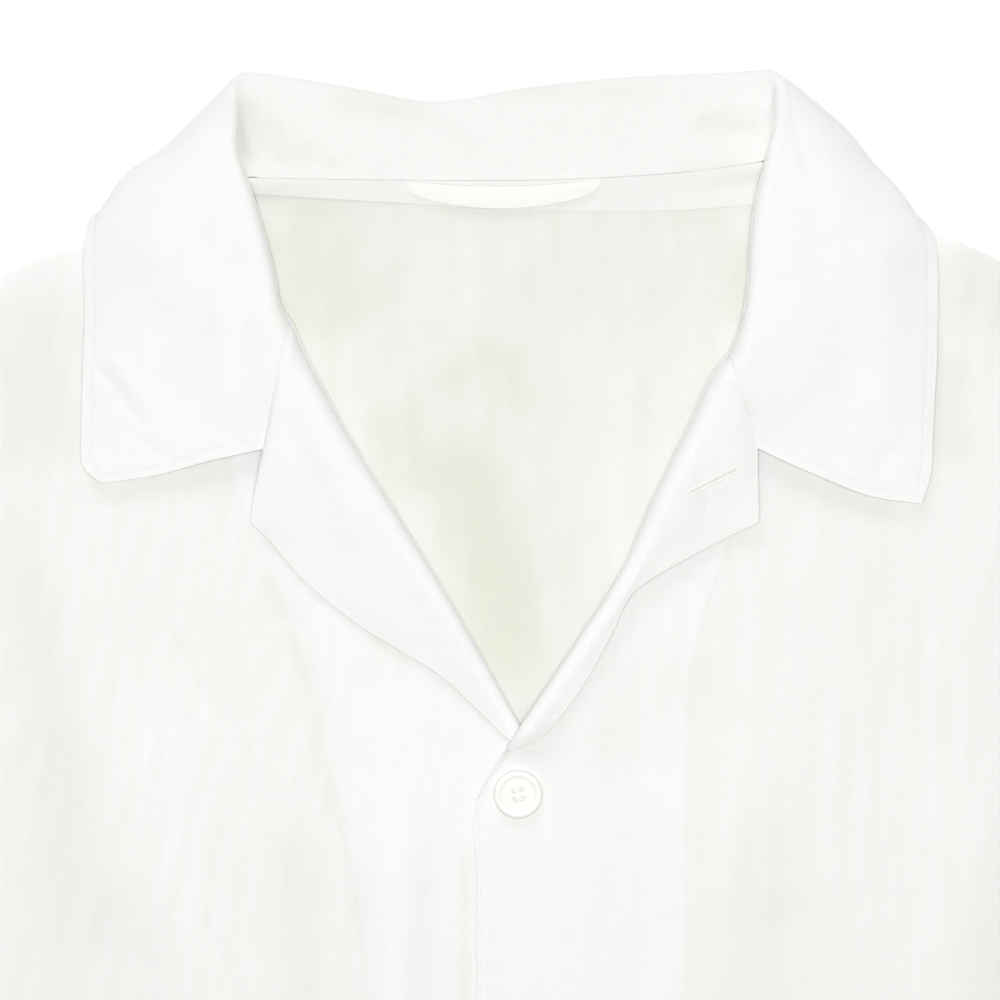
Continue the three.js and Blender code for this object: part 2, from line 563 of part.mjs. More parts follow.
// A station across the band, as points from the seam over the roll to the free edge.
function bandRow(station, outward) {
  const lean = THREE.MathUtils.degToRad(station.lean);
  const up = new THREE.Vector3(0, 0, 1);
  const points = outward.clone().multiplyScalar(-Math.cos(lean)).addScaledVector(up, Math.sin(lean));
  const over = outward.clone().multiplyScalar(Math.sin(lean)).addScaledVector(up, Math.cos(lean));
  const roll = station.roll;
  const centre = roll.clone().addScaledVector(points, -station.radius);
  const onRoll = (angle) => centre.clone()
    .addScaledVector(points, station.radius * Math.cos(angle))
    .addScaledVector(over, station.radius * Math.sin(angle));
  const standTop = onRoll(-Math.PI / 2);
  const stand = new THREE.LineCurve3(station.seam, standTop);
  const fall = new THREE.CatmullRomCurve3(
    [onRoll(Math.PI / 2), station.fall, station.turn, station.edge], false, "centripetal");
  return [
    ...steps(BAND.stand).slice(0, -1).map((t) => stand.getPoint(t)),
    ...steps(BAND.curl * 2).slice(0, -1).map((t) => onRoll(lerp(-Math.PI / 2, Math.PI / 2, t))),
    ...steps(BAND.fall).map((t) => fall.getPoint(t)),
  ].map(onSurface);
}

const SEAM_SHIFT = new THREE.Vector3(GAP + 0.5, GAP + 0.3, 0); // from the gorge to the collar's edge
const KINK_SHIFT = new THREE.Vector3(GAP + 0.5, 2.6, 1.6);

// The station where the seam leaves the roll for the gorge: its stand has shrunk to nothing.
function kinkRow(front, leaf) {
  const start = front.lapelPoint(front.kink, 0).add(KINK_SHIFT.clone().setX(front.side * KINK_SHIFT.x));
  const rise = front.rise(front.kink);
  const away = new THREE.Vector3(front.side, 0, 0);
  const station = {
    roll: start, seam: start, lean: 0, radius: rise,
    fall: asPoint(leaf.fall), turn: asPoint(leaf.turn), edge: asPoint(leaf.edge),
  };
  const row = bandRow(station, away);
  const hidden = BAND.stand + BAND.curl;
  return row.map((p, j) => (j < hidden ? start.clone() : p));
}

// A row of a leaf below the kink: it starts on the gorge, beside the lapel.
function leafRow(front, leaf) {
  const start = front.lapelPoint(front.kink, leaf.share);
  start.add(SEAM_SHIFT.clone().setX(front.side * SEAM_SHIFT.x));
  const line = new THREE.CatmullRomCurve3(
    [start, asPoint(leaf.fall), asPoint(leaf.turn), asPoint(leaf.edge)], false, "centripetal");
  const before = BAND.stand + BAND.curl * 2;
  return [...Array(before).fill(start), ...steps(BAND.fall).map((t) => line.getPoint(t))];
}

function collarStations() {
  const tucked = (station) => {
    const x = (part) => lerp(station.seam[0], station.roll[0], part);
    return {
      ...station,
      fall: [x(0.9), TUCKED.fall, PAIR_HALF],
      turn: [x(0.8), TUCKED.turn, PAIR_HALF],
      edge: [x(0.8), TUCKED.edge, PAIR_HALF],
    };
  };
  const placed = (front) => (station) => ({
    ...station,
    seam: station.seam.length === 2
      ? frontSeam(front, station.seam)
      : asPoint([station.seam[0], backNeckLevel(station.seam[0]) + GAP, station.seam[2]]),
    roll: asPoint(station.roll),
    fall: asPoint(station.fall),
    turn: asPoint(station.turn),
    edge: asPoint(station.edge),
  });
  return [
    ...RIGHT_COLLAR.map(placed(rightFront)),
    ...BACK_COLLAR.map(tucked).map(placed(rightFront)),
    ...LEFT_COLLAR.map(placed(leftFront)),
  ];
}

function collar() {
  const stations = collarStations();
  const rolls = new THREE.CatmullRomCurve3(stations.map((station) => station.roll));
  const rows = stations.map((station, i) => {
    const along = rolls.getTangent(i / (stations.length - 1));
    const outward = new THREE.Vector3(-along.y, along.x, 0).normalize();
    return bandRow(station, outward);
  });
  return surface([[
    ...RIGHT_LEAF.slice(0, -1).map((leaf) => leafRow(rightFront, leaf)),
    kinkRow(rightFront, RIGHT_LEAF[RIGHT_LEAF.length - 1]),
    ...rows,
    kinkRow(leftFront, LEFT_LEAF[0]),
    ...LEFT_LEAF.slice(1).map((leaf) => leafRow(leftFront, leaf)),
  ]]);
}

// ---------- neck tape and hanger loop ----------
const TAPE = { from: -95, to: 94, tallRight: 10, tallLeft: 4, columns: 14 };
const LOOP = { from: -39, to: 34, wide: 8, sag: 5.5, lift: 4, columns: 12 };
const ON_BACK = BACK_WALL / 2 + GAP + CLOTH / 2; // mid-surface of a layer lying on the back

function neckTape() {
  const rows = steps(TAPE.columns).map((t) => {
    const x = lerp(TAPE.from, TAPE.to, t);
    const top = backNeckLevel(x) - GAP - 0.4;
    const tall = lerp(TAPE.tallLeft, TAPE.tallRight, t);
    return [0, 1].map((down) => {
      const level = top - tall * down;
      return at(x, level, backHeight(x, level) + ON_BACK);
    });
  });
  return aroundSurface(surface([rows]), CLOTH);
}

function hangerLoop() {
  const rows = steps(LOOP.columns).map((t) => {
    const x = lerp(LOOP.from, LOOP.to, t);
    const arch = 1 - (2 * t - 1) ** 2;
    const top = backNeckLevel(x) - 1 - LOOP.sag * Math.sqrt(arch);
    return [0, 0.5, 1].map((down) => {
      const level = top - (LOOP.wide - 2 * (1 - arch)) * down;
      const lift = CLOTH + GAP + LOOP.lift * Math.sqrt(arch) * (1 - 0.5 * down);
      return at(x, level, backHeight(x, level) + ON_BACK + lift);
    });
  });
  return aroundSurface(surface([rows]), CLOTH);
}

// ---------- sleeves ----------
// The left sleeve, a flat tube: its ring runs along the top layer from the shoulder edge to the
// inner one and back along the layer that lies on the surface.
function sleeve() {
  const down = new THREE.Vector2(Math.sin(SLEEVE_ANGLE), -Math.cos(SLEEVE_ANGLE));
  const inward = new THREE.Vector2(-Math.cos(SLEEVE_ANGLE), -Math.sin(SLEEVE_ANGLE));
  const cuffOuter = new THREE.Vector2(SHOULDER.x, SHOULDER.level).addScaledVector(down, SLEEVE_LENGTH);
  const cuffInner = cuffOuter.clone().addScaledVector(inward, CUFF_WIDTH);
  const shares = ARMHOLE_LEVELS.map((level) =>
    (level - SHOULDER.level) / (UNDERARM.level - SHOULDER.level));
  const rows = steps(SLEEVE_ROWS).map((t) => {
    const point = (share, z) => {
      const level = lerp(SHOULDER.level, UNDERARM.level, share);
      const start = new THREE.Vector2(sideX(level) + SLEEVE_START_GAP, level);
      const end = cuffOuter.clone().lerp(cuffInner, share);
      const p = start.lerp(end, t);
      return at(p.x, p.y, z);
    };
    const domed = (share) => {
      const high = SLEEVE_TOP_Z + 2.2 * Math.sin(9 * share + 5 * t) * ease(4 * t) * ease(4 * (1 - t));
      const rounded = quarterRound(6 * share) * quarterRound(6 * (1 - share));
      return lerp(SIDE_Z, Math.max(high, SIDE_Z + 1), rounded);
    };
    const top = shares.map((share) => point(share, domed(share)));
    const under = shares.map((share) => point(share, BACK_Z)).reverse();
    const ring = [...top, ...under];
    return [...ring, ring[0]];
  });
  return aroundSurface(surface([rows]), BACK_WALL);
}

// The same piece for the body's other side.
function mirrored(geometry) {
  geometry.scale(-1, 1, 1);
  geometry.index.array.reverse(); // so that its faces still point outwards
  return geometry;
}

// ---------- buttons ----------
function toManifold(geometry) {
  geometry.deleteAttribute("normal");
  geometry.deleteAttribute("uv");
  const merged = mergeVertices(geometry, 1e-4);
  return new wasm.Manifold(new wasm.Mesh({
    numProp: 3,
    vertProperties: merged.getAttribute("position").array,
    triVerts: new Uint32Array(merged.index.array),
  }));
}

// A sew-through button: a low rim round a dished middle with four holes.
function button() {
  const { radius, thick, rim, dish, hole, holeRing } = BUTTON;
  const profile = [
    [0, 0], [radius - 1.2, 0], [radius, 1], [radius - 0.3, thick - 0.4],
    [radius - rim, thick], [radius - rim - 1.4, thick - dish], [0, thick - dish],
  ].map(([r, z]) => new THREE.Vector2(r, z));
  const disc = new THREE.LatheGeometry(profile, 20);
  disc.rotateX(Math.PI / 2);
  let solid = toManifold(disc);
  for (const quarter of [0, 1, 2, 3]) {
    const angle = ((quarter + 0.5) * Math.PI) / 2;
    const drill = new THREE.CylinderGeometry(hole, hole, thick * 3, 6);
    drill.rotateX(Math.PI / 2);
    drill.translate(holeRing * Math.cos(angle), holeRing * Math.sin(angle), 0);
    solid = solid.subtract(toManifold(drill));
  }
  const made = solid.getMesh();
  const geometry = new THREE.BufferGeometry();
  geometry.setAttribute("position", new THREE.BufferAttribute(made.vertProperties, 3));
  geometry.setIndex(new THREE.BufferAttribute(made.triVerts, 1));
  return geometry;
}

// Lays a disc flat on the left front at a level of the buttons' line, clear of every bump under it.
function restOnPlacket(disc, level) {
  const height = (x, y) => leftFront.height(x, y) + leftFront.curl(y, x - leftFront.inner(y));
  const r = BUTTON.radius;
  const x = CENTRE_FRONT;
  const slopeX = (height(x + r, level) - height(x - r, level)) / (2 * r);
  const slopeY = (height(x, level + r) - height(x, level - r)) / (2 * r);
  const bumps = steps(BUTTON.checks).map((t) => {
    const [dx, dy] = [r * Math.cos(2 * Math.PI * t), r * Math.sin(2 * Math.PI * t)];
    return height(x + dx, level + dy) - slopeX * dx - slopeY * dy;
  });
  const resting = Math.max(height(x, level), ...bumps) + PAIR_HALF + 2 * GAP;
  disc.position.copy(at(x, level, resting));
  const facing = new THREE.Vector3(-slopeX, -slopeY, 1).normalize();
  disc.quaternion.setFromUnitVectors(new THREE.Vector3(0, 0, 1), facing);
}

// ---------- the garment ----------
const jacket = new THREE.Group();
jacket.name = "shirt_jacket";

jacket.add(piece("back", back(), FABRIC));
const collarCloth = collar();
jacket.add(piece("upper_collar", overSurface(collarCloth), FABRIC));
jacket.add(piece("under_collar", underSurface(collarCloth), FABRIC));
for (const [name, front] of [["right", rightFront], ["left", leftFront]]) {
  jacket.add(piece(`${name}_front`, underSurface(front.front()), FABRIC));
  jacket.add(piece(`${name}_facing`, overSurface(front.facing()), FABRIC));
  jacket.add(piece(`${name}_sleeve`, front.side > 0 ? sleeve() : mirrored(sleeve()), FABRIC));
}
jacket.add(piece("neck_tape", neckTape(), FABRIC));
jacket.add(piece("hanger_loop", hangerLoop(), FABRIC));

for (let i = 0; i < BUTTON_COUNT; i += 1) {
  const disc = piece(`button_${i + 1}`, button(), NACRE);
  restOnPlacket(disc, BUTTON.first - i * BUTTON.pitch);
  jacket.add(disc);
}

export default jacket;
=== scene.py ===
"""Looks of a white linen shirt jacket that lies buttoned on its back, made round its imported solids.

Tables and forms are in millimetres, finished meshes in metres. X runs towards the wearer's left
sleeve and Z up from the surface that the garment lies on. Lengths down the garment are written as
"level": 0 on the back neck seam, negative to the hem. Right and left are the wearer's.
"""

from __future__ import annotations

import logging
import math
from dataclasses import dataclass, field
from enum import Enum
from typing import Any, Sequence

import bpy
import numpy as np
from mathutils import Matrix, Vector


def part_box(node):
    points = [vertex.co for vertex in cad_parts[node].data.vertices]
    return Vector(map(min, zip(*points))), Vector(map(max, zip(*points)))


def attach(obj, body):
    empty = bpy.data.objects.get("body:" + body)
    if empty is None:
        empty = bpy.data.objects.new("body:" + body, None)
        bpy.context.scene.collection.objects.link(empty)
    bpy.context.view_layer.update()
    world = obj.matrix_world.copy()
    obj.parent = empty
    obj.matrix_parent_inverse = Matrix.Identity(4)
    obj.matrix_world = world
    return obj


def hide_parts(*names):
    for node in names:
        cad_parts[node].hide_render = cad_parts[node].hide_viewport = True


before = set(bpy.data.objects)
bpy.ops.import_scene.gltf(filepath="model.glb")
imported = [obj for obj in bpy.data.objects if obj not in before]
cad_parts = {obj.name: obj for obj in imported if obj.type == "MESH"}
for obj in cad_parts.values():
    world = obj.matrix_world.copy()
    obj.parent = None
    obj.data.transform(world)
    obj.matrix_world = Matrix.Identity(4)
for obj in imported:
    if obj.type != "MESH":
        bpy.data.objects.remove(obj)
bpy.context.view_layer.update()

LOG = logging.getLogger("shirt_jacket")

Array = np.ndarray

# ---------- sizes shared with the solids ----------
MM = 0.001
BODY_LENGTH = 730.0
NECK_Y = 345.0
GAP = 0.3
PAIR_HALF = 1.15
BACK_WALL = 1.2
BACK_Z = 0.6
SHOULDER_X, SHOULDER_LEVEL = 240.0, -54.0
UNDERARM_LEVEL = -290.0
SLEEVE_LENGTH = 600.0
SLEEVE_ANGLE = math.radians(26)
CUFF_WIDTH = 130.0
SLEEVE_TOP_Z = 4.2
SLEEVE_START_GAP = GAP + BACK_WALL / 2
CENTRE_FRONT = 3.0
BUTTON_FIRST, BUTTON_PITCH, BUTTON_COUNT = -230.0, 100.0, 5
SIDE_Z, SHOULDER_Z, FRONT_Z = 1.5, 2.9, 4.6
SLANT = 0.93
EDGE_REACH = 26.0
OVERLAP_LIFT, OVERLAP_FROM, OVERLAP_TO = 3.1, 52.0, 24.0
CROSSING_X, CROSSING_LEVEL, CROSSING_REACH, CROSSING_LIFT = 5.0, -205.0, 15.0, 4.6
ROW_LEVEL_OUT = -185.0
PLACKET_FLAT, PLACKET_FADE = 20.0, 26.0

NECK_HALF = 98.0
NECK_SHARE = NECK_HALF / SHOULDER_X
NECK_STEP, NECK_STEP_FROM, NECK_STEP_RUN = 3.1, -62.0, 44.0  # up over the tucked collar
NECK_STEP_SIDE, NECK_STEP_FADE = 188.0, 20.0
TAPE_FROM, TAPE_TO = -95.0, 95.5
LOOP_FROM, LOOP_TO = -39.0, 34.0
ON_BACK = 0.75  # a strip's middle over the back's own surface

# ---------- sewing ----------
COLLAR_STITCH, EDGE_STITCH, HEM_STITCH, CUFF_STITCH, TAPE_STITCH = 3.7, 1.4, 12.0, 20.5, 1.1
HEM = 22.0  # depth of a sleeve's hem
EDGE_ROWS = 136  # rows of a front below the lapel
EDGE_INSET, LAPEL_INSET, HEM_INSET = 4.0, 1.0, 3.0  # length left free at a line's ends

# ---------- how thin the shown cloth is ----------
WELD_DIGITS = 4  # points alike to so many digits of a millimetre are one
PLY = 0.5
PLY_GAP = 0.06  # between two layers made on one surface
FACED = 0.45  # by which a front lies higher over its facing
SEAM_GAP = 0.03  # between collar and lapel along the gorge
SHARP = math.radians(50)  # an edge that turns by more is a crisp one
FAR = 60.0  # stands for no free edge nearby

TINY, SMALL = 1e-9, 1e-6  # stand in for a zero that something is divided by


class Side(Enum):
    """The wearer's side."""

    RIGHT = -1
    LEFT = 1


# ---------- small maths ----------
def lerp(a: Any, b: Any, t: Any) -> Any:
    """The value a share t of the way from a to b."""
    return a + (b - a) * t


def ease(t: Any) -> Array:
    """A smooth step from 0 to 1: 3 t squared less 2 t cubed, held outside that range."""
    t = np.clip(t, 0, 1)
    return t * t * (3 - 2 * t)


def quarter_round(t: Any) -> Array:
    """A quarter circle that is steep first: the root of 1 less (1 - t) squared."""
    return np.sqrt(1 - (1 - np.clip(t, 0, 1)) ** 2)


def place(x: Any, level: Any, z: Any) -> Array:
    """Points of the garment's frame from x, level and height, stacked on the last axis."""
    x, level, z = np.broadcast_arrays(np.asarray(x, float), level, z)
    return np.stack([x, level + NECK_Y, z], axis=-1)


def unit(vectors: Array) -> Array:
    """Vectors along the last axis, each over its own length."""
    return vectors / np.maximum(np.linalg.norm(vectors, axis=-1, keepdims=True), TINY)


def cells(a: Array, b: Array, c: Array, d: Array) -> list[Array]:
    """Two triangles, a b c and a c d, for each cell whose four corners are given in order."""
    return [np.stack([a, b, c], -1).reshape(-1, 3), np.stack([a, c, d], -1).reshape(-1, 3)]


def hermite(keys: Array, values: Array, corner: Array, where: Array) -> Array:
    """A smooth curve through rows of values.

    Each span is a cubic. A row's slope is the secant of its two neighbours, and at a corner or an
    end it is the secant of the span itself.

    Args:
        keys: the rows' rising keys.
        values: one row of values for each key.
        corner: whether each row is a corner.
        where: the keys to read the curve at, of any shape.

    Returns:
        The values, in the shape of where with the values' own axes last.
    """
    where = np.asarray(where, float)
    extra = (1,) * (values.ndim - 1)
    gaps = np.diff(keys).reshape(-1, *extra)
    secant = np.diff(values, axis=0) / gaps
    entering, leaving = secant.copy(), secant.copy()
    if len(keys) > 2:
        central = (values[2:] - values[:-2]) / (keys[2:] - keys[:-2]).reshape(-1, *extra)
        sharp = corner[1:-1].reshape(-1, *extra)
        entering[1:] = np.where(sharp, secant[1:], central)
        leaving[:-1] = np.where(sharp, secant[:-1], central)
    i = np.clip(np.searchsorted(keys, where, side="right") - 1, 0, len(keys) - 2)
    t = np.clip((where - keys[i]) / (keys[i + 1] - keys[i]), 0, 1).reshape(*where.shape, *extra)
    blend = lerp(values[i], values[i + 1], t * t * (3 - 2 * t))
    return blend + gaps[i] * (entering[i] * t * (1 - t) ** 2 - leaving[i] * t * t * (1 - t))


class Table:
    """Rows of numbers under named columns, read as smooth curves along the first one."""

    def __init__(self, columns: str, rows: Sequence[Sequence[float]], corner: float | None = None):
        """Sorts the rows by the first column and marks the row whose key is the corner's."""
        data = np.array(rows, float)
        data = data[np.argsort(data[:, 0])]
        self.names = columns.split()
        self.keys = data[:, 0]
        self.data = data
        self.corner = self.keys == (np.nan if corner is None else corner)

    def __call__(self, name: str, where: Any) -> Array:
        """The named column at any keys."""
        column = self.data[:, self.names.index(name)]
        return hermite(self.keys, column, self.corner, where)


def ridges(table: Array, x: Array, level: Array) -> Array:
    """Soft ridges and troughs added up.

    Each is a bell across its line, height times e to minus (distance over width) squared, and
    fades over a quarter of its length at both ends.

    Args:
        table: rows of from x, from level, to x, to level, width, height.
        x, level: where to read them.

    Returns:
        The height at each point.
    """
    total = np.zeros(np.broadcast(x, level).shape)
    for x0, l0, x1, l1, width, height in table:
        ax, al = x1 - x0, l1 - l0
        length = math.hypot(ax, al)
        t = ((x - x0) * ax + (level - l0) * al) / length**2
        aside = ((x - x0) * al - (level - l0) * ax) / length
        total += height * np.exp(-((aside / width) ** 2)) * ease(4 * t) * ease(4 * (1 - t))
    return total


@dataclass(frozen=True)
class Waves:
    """A low, aimless waviness: sine waves of about one length, each in its own direction."""

    seed: int
    size: float
    height: float
    along: float = 1.0  # levels are taken times this, so that below 1 the waves run downwards
    count: int = 9
    shortest: float = 0.6
    longest: float = 1.8

    def __call__(self, x: Array, level: Array) -> Array:
        """The height at each place."""
        draw = np.random.default_rng(self.seed)
        level = level * self.along
        total = np.zeros(np.broadcast(x, level).shape)
        for _ in range(self.count):
            angle, phase = draw.uniform(0, math.pi), draw.uniform(0, 2 * math.pi)
            wave = self.size * draw.uniform(self.shortest, self.longest)
            run = (x * math.cos(angle) + level * math.sin(angle)) * 2 * math.pi / wave
            total += np.sin(run + phase)
        return total * self.height / math.sqrt(self.count)


# ---------- form tables, the same as the solids' ----------
SIDE = Table("level x", [
    (-54, 240), (-115, 243), (-175, 250), (-235, 261), (-290, 275), (-420, 277), (-730, 284),
])
BACK_NECK = Table("x level", [(-99, 0.6), (-50, 0), (10, 0), (60, 2.4), (98, 7)])
FRONT_COLUMNS = "level inner rise reach"
RIGHT_FRONT = Table(FRONT_COLUMNS, [
    (1, -99, 0.8, 42), (-12, -102.5, 2, 36), (-26, -100, 3.2, 26), (-40, -93.5, 4.2, 15),
    (-53.3, -82.5, 7, 7), (-65.6, -76.9, 6.6, 6.4), (-93.8, -61.9, 5.6, 5.8),
    (-127.5, -41.3, 4.6, 5.2), (-151.9, -26.3, 4, 4.6), (-178.1, -11.3, 3.2, 4.2),
    (-205.5, 3.8, 1.8, 3.4), (-216, 9.2, 0.6, 3), (-234, 18.4, 0, 3), (-260, 18.4, 0, 3),
    (-730, 18.4, 0, 3),
])
LEFT_FRONT = Table(FRONT_COLUMNS, [
    (7.4, 98, 0.8, 42), (-8, 102.5, 2, 36), (-26, 101.5, 3.2, 26), (-47, 94.5, 4.2, 15),
    (-65.6, 81.8, 7, 7), (-75, 75, 6.6, 6.4), (-91.9, 67.5, 5.8, 6), (-118.1, 54.4, 4.8, 5.4),
    (-148.1, 41.3, 3.8, 4.8), (-174.4, 24.4, 3.2, 4.4), (-205.5, 3.8, 2.2, 3.4),
    (-214, -1.2, 1, 3), (-234, -12.4, 0, 3), (-260, -12.4, 0, 3), (-730, -12.4, 0, 3),
])
LAPEL_COLUMNS = "level edge_x edge_level lift"
RIGHT_LAPEL = Table(LAPEL_COLUMNS, [
    (-53.3, -91.9, -100.9, 7.5), (-59.5, -94.8, -114.6, 6.5), (-65.6, -97.3, -128.3, 5.5),
    (-78.8, -89.6, -135.6, 4.2), (-93.8, -81.6, -145.2, 3.8), (-106.9, -72.5, -154.2, 3.6),
    (-127.5, -58, -165.8, 3.4), (-151.9, -41.3, -176.3, 3.2), (-178.1, -24, -187.3, 3),
    (-205.5, 0, -210, 2.9), (-216, 9.2, -216, 0),
], corner=-65.6)
LEFT_LAPEL = Table(LAPEL_COLUMNS, [
    (-65.6, 92.5, -100.7, 7.5), (-71, 92.7, -114, 6.5), (-77, 93.3, -128.3, 5.5),
    (-91.9, 81.5, -133.7, 4.2), (-105, 71.6, -138.9, 3.8), (-118.1, 61.5, -144.3, 3.6),
    (-133, 51, -150.6, 3.4), (-144, 44.6, -156.2, 3.3), (-159.4, 38.6, -168.5, 3.2),
    (-174.4, 31.4, -182.2, 3.1), (-188.6, 23.4, -194.8, 3), (-205.5, 11.6, -208.4, 2.9),
    (-210.5, 4.6, -212, 2.8), (-214, -1.2, -214, 0),
], corner=-77)
RIGHT_FACING = Table("level x", [
    (1, -134), (-120, -100), (-170, -81.4), (-226, -67.5), (-264, -58.9), (-304, -54.4),
    (-400, -61.6), (-730, -61.6),
])
LEFT_FACING = Table("level x", [
    (7.4, 132), (-80, 108), (-140, 80), (-194, 67.5), (-730, 67.5),
])
# from x, from level, to x, to level, width, height
FRONT_FOLDS = np.array([
    (-168, -120, -144, -300, 15, 4), (-120, -165, -122, -420, 22, 5),
    (-42, -215, -40, -420, 15, 4.5), (-150, -380, -205, -690, 26, 5),
    (-78, -470, -98, -720, 24, 4), (-205, -230, -238, -420, 20, 4),
    (176, -205, 160, -400, 18, 4.5), (94, -190, 60, -430, 20, 3),
    (150, -430, 196, -700, 26, 5), (84, -480, 96, -725, 22, 4),
    (206, -225, 236, -430, 20, 4), (186, -70, 205, -150, 14, 2.5),
], float)
# Collar stations, from the right gorge round the neck: seam x, level, z (nan: on the front's neck
# edge), roll x, level, z, lean, radius, then x, level, z of fall, turn and edge.
NAN = float("nan")
TUCKED = ((0.9, 15.0), (0.8, 3.0), (0.8, -10.0))
RIGHT_STATIONS = [
    (-93.5, -40, NAN, -88.3, -35.6, 14.6, 10, 4.4, -116, -38, 18, -141, -44, 14, -159, -48.5, 9.4),
    (-100, -26, NAN, -92.6, -19.5, 17, 18, 4.2, -119, -22, 19.6, -143, -28, 15.4,
     -159.4, -31.5, 10.4),
    (-102.5, -12, NAN, -97.2, -5, 18.6, 30, 4, -120.5, -5, 20, -146, -9.5, 14.4, -158, -16.5, 9.2),
    (-101.5, -4, NAN, -102.2, 7, 19, 52, 3.6, -121, 7, 18, -143.5, 2, 9.6, -151, -10, 3.2),
    (-98.5, 0.6, 9.2, -103.6, 18, 18, 72, 2.8, -118.5, 16.6, 14.8, -134.5, 8.6, 6.5,
     -138, -12, 1.15),
    (-93, 0.6, 7.6, -104.2, 28, 14, 96, 2.4, -114, 26, 9, -124, 17.5, 4.5, -126, -12, 1.15),
    (-87, 0.5, 7.2, -104.4, 35.4, 11.4, 116, 2.2, -110.8, 31.5, 5.8, -116.6, 24, 2.7,
     -117, -11.5, 1.15),
    (-80, 0.4, 6.6, -101, 39.4, 8.5, 138, 2.4, -105.5, 34.6, 2.9, -108, 20, 1.4, -108.5, -11, 1.15),
]
BACK_STATIONS = [
    (-63, 0.2, 5.6, -84, 38.8, 5, 168, 2.8), (-44, 0, 5, -57, 34.2, 4.2, 180, 3),
    (-20, 0, 4.8, -28, 29.6, 4.15, 180, 3), (10, 0, 4.8, 8, 35, 4.15, 180, 3),
    (42, 1.5, 5, 45, 38.8, 4.2, 180, 3), (68, 3.2, 5.6, 74, 40, 4.6, 172, 3),
]
LEFT_STATIONS = [
    (84, 5, 6.6, 92, 40.6, 7, 150, 2.8, 96.5, 32, 1.9, 99.5, 18, 1.2, 104, -8, 1.15),
    (88, 5.6, 7.1, 97.4, 40.4, 9, 132, 2.6, 103, 33.6, 3.4, 107.5, 22.5, 1.9, 111, -8.5, 1.15),
    (92, 6.2, 7.6, 101.2, 38, 11, 115, 2.6, 109, 34, 5.2, 115.5, 26.5, 3, 119, -9, 1.15),
    (97.5, 7.5, 9.2, 101.8, 26.5, 16, 80, 3, 115, 25.5, 11.6, 126.5, 19, 5.5, 132.5, -10, 1.15),
    (101.5, 2.5, NAN, 98.6, 13, 18.4, 58, 3.6, 117.5, 13, 16.5, 136.5, 6.5, 8, 145, -9.5, 1.8),
    (102.5, -8, NAN, 94.8, 0, 18.6, 40, 4, 119, 0, 19, 146, -5.5, 11, 153, -13.5, 6),
    (102.3, -20, NAN, 91.6, -12, 18, 26, 4.2, 119, -13, 19.6, 145.5, -18, 15, 158.6, -21.5, 10),
    (100, -32, NAN, 90, -26, 16.6, 18, 4.2, 119, -28, 18.6, 145, -33, 14.8, 160, -36, 10.2),
    (94.5, -47, NAN, 88.6, -44, 14.6, 10, 4.4, 117, -46, 17, 143, -51, 13.6, 160, -53, 9.2),
]
# Leaf rows along each gorge: share (0 on the roll, 1 at the notch), then x, level, z of fall,
# turn and edge.
RIGHT_LEAF = [
    (0, -113, -54, 16.2, -140, -60, 12.8, -159.7, -65, 9.4),
    (0.2, -116, -68, 14, -141, -75, 12, -160.2, -80, 9.2),
    (0.45, -117, -81, 12.8, -142, -88, 11, -160.6, -95, 9.2),
    (0.72, -117, -94, 12.2, -141, -101, 10.6, -160, -107, 9.6),
    (1, -112, -105.2, 12.4, -133, -110.8, 11, -153.2, -113.6, 10.5),
]
LEFT_LEAF = [
    (0, 113, -64, 15.4, 141, -68, 12.4, 159.7, -70, 9.4),
    (0.2, 116, -76, 13.8, 141, -81, 11.6, 159, -83, 9.2),
    (0.45, 118, -88, 12.8, 141, -94, 11, 158.3, -96, 9.2),
    (0.72, 118, -99, 12.2, 140, -107, 10.6, 157.6, -110, 9.6),
    (1, 112, -109.5, 12.4, 134, -118.2, 11, 154, -121.4, 10.5),
]

# ---------- creases that only the shown cloth has ----------
# from x, from level, to x, to level, width, height
FRONT_CREASES = np.array([
    (-181, -44, -166, -118, 5, -1.3), (-190, -52, -176, -120, 5, 0.7),
    (-134, -160, -108, -204, 1.7, -0.75), (-130, -158, -104, -202, 2.4, 0.5),
    (-118, -268, -92, -326, 1.9, -0.9), (-113, -268, -88, -324, 2.6, 0.6),
    (-92, -124, -83, -176, 6, -1.6), (-76, -150, -33, -186, 4, -0.7),
    (-180, -170, -176, -330, 9, -0.7), (-79, -176, -67, -218, 2.6, -0.8),
    (-66, -224, -55, -306, 3.2, -0.9), (-76, -250, -74, -360, 10, -1.5),
    (-152, -240, -160, -300, 4, -0.6), (-60, -196, -30, -240, 7, 0.8),
    (95, -262, 92, -344, 20, -1.3), (30, -270, 31, -330, 4, -0.8), (38, -268, 39, -330, 3.5, 0.4),
    (176, -24, 168, -48, 3.5, 0.9), (141, -190, 148, -330, 7, -0.9),
    (52, -214, 74, -286, 8, 0.9), (108, -150, 128, -196, 7, -0.6), (182, -120, 170, -180, 6, 0.7),
    (-214, -440, -190, -520, 6, 0.9), (-60, -520, -50, -610, 5, -0.9),
    (-186, -560, -170, -640, 4, 0.7),
    (-120, -600, -136, -690, 5, -0.8), (60, -500, 70, -600, 6, -0.9),
    (130, -540, 118, -640, 4, 0.8),
    (204, -500, 190, -590, 6, 0.9), (224, -600, 214, -690, 5, -0.7),
    (110, -380, 122, -450, 4, 0.6),
    (-100, -430, -92, -500, 4, 0.6),
], float)
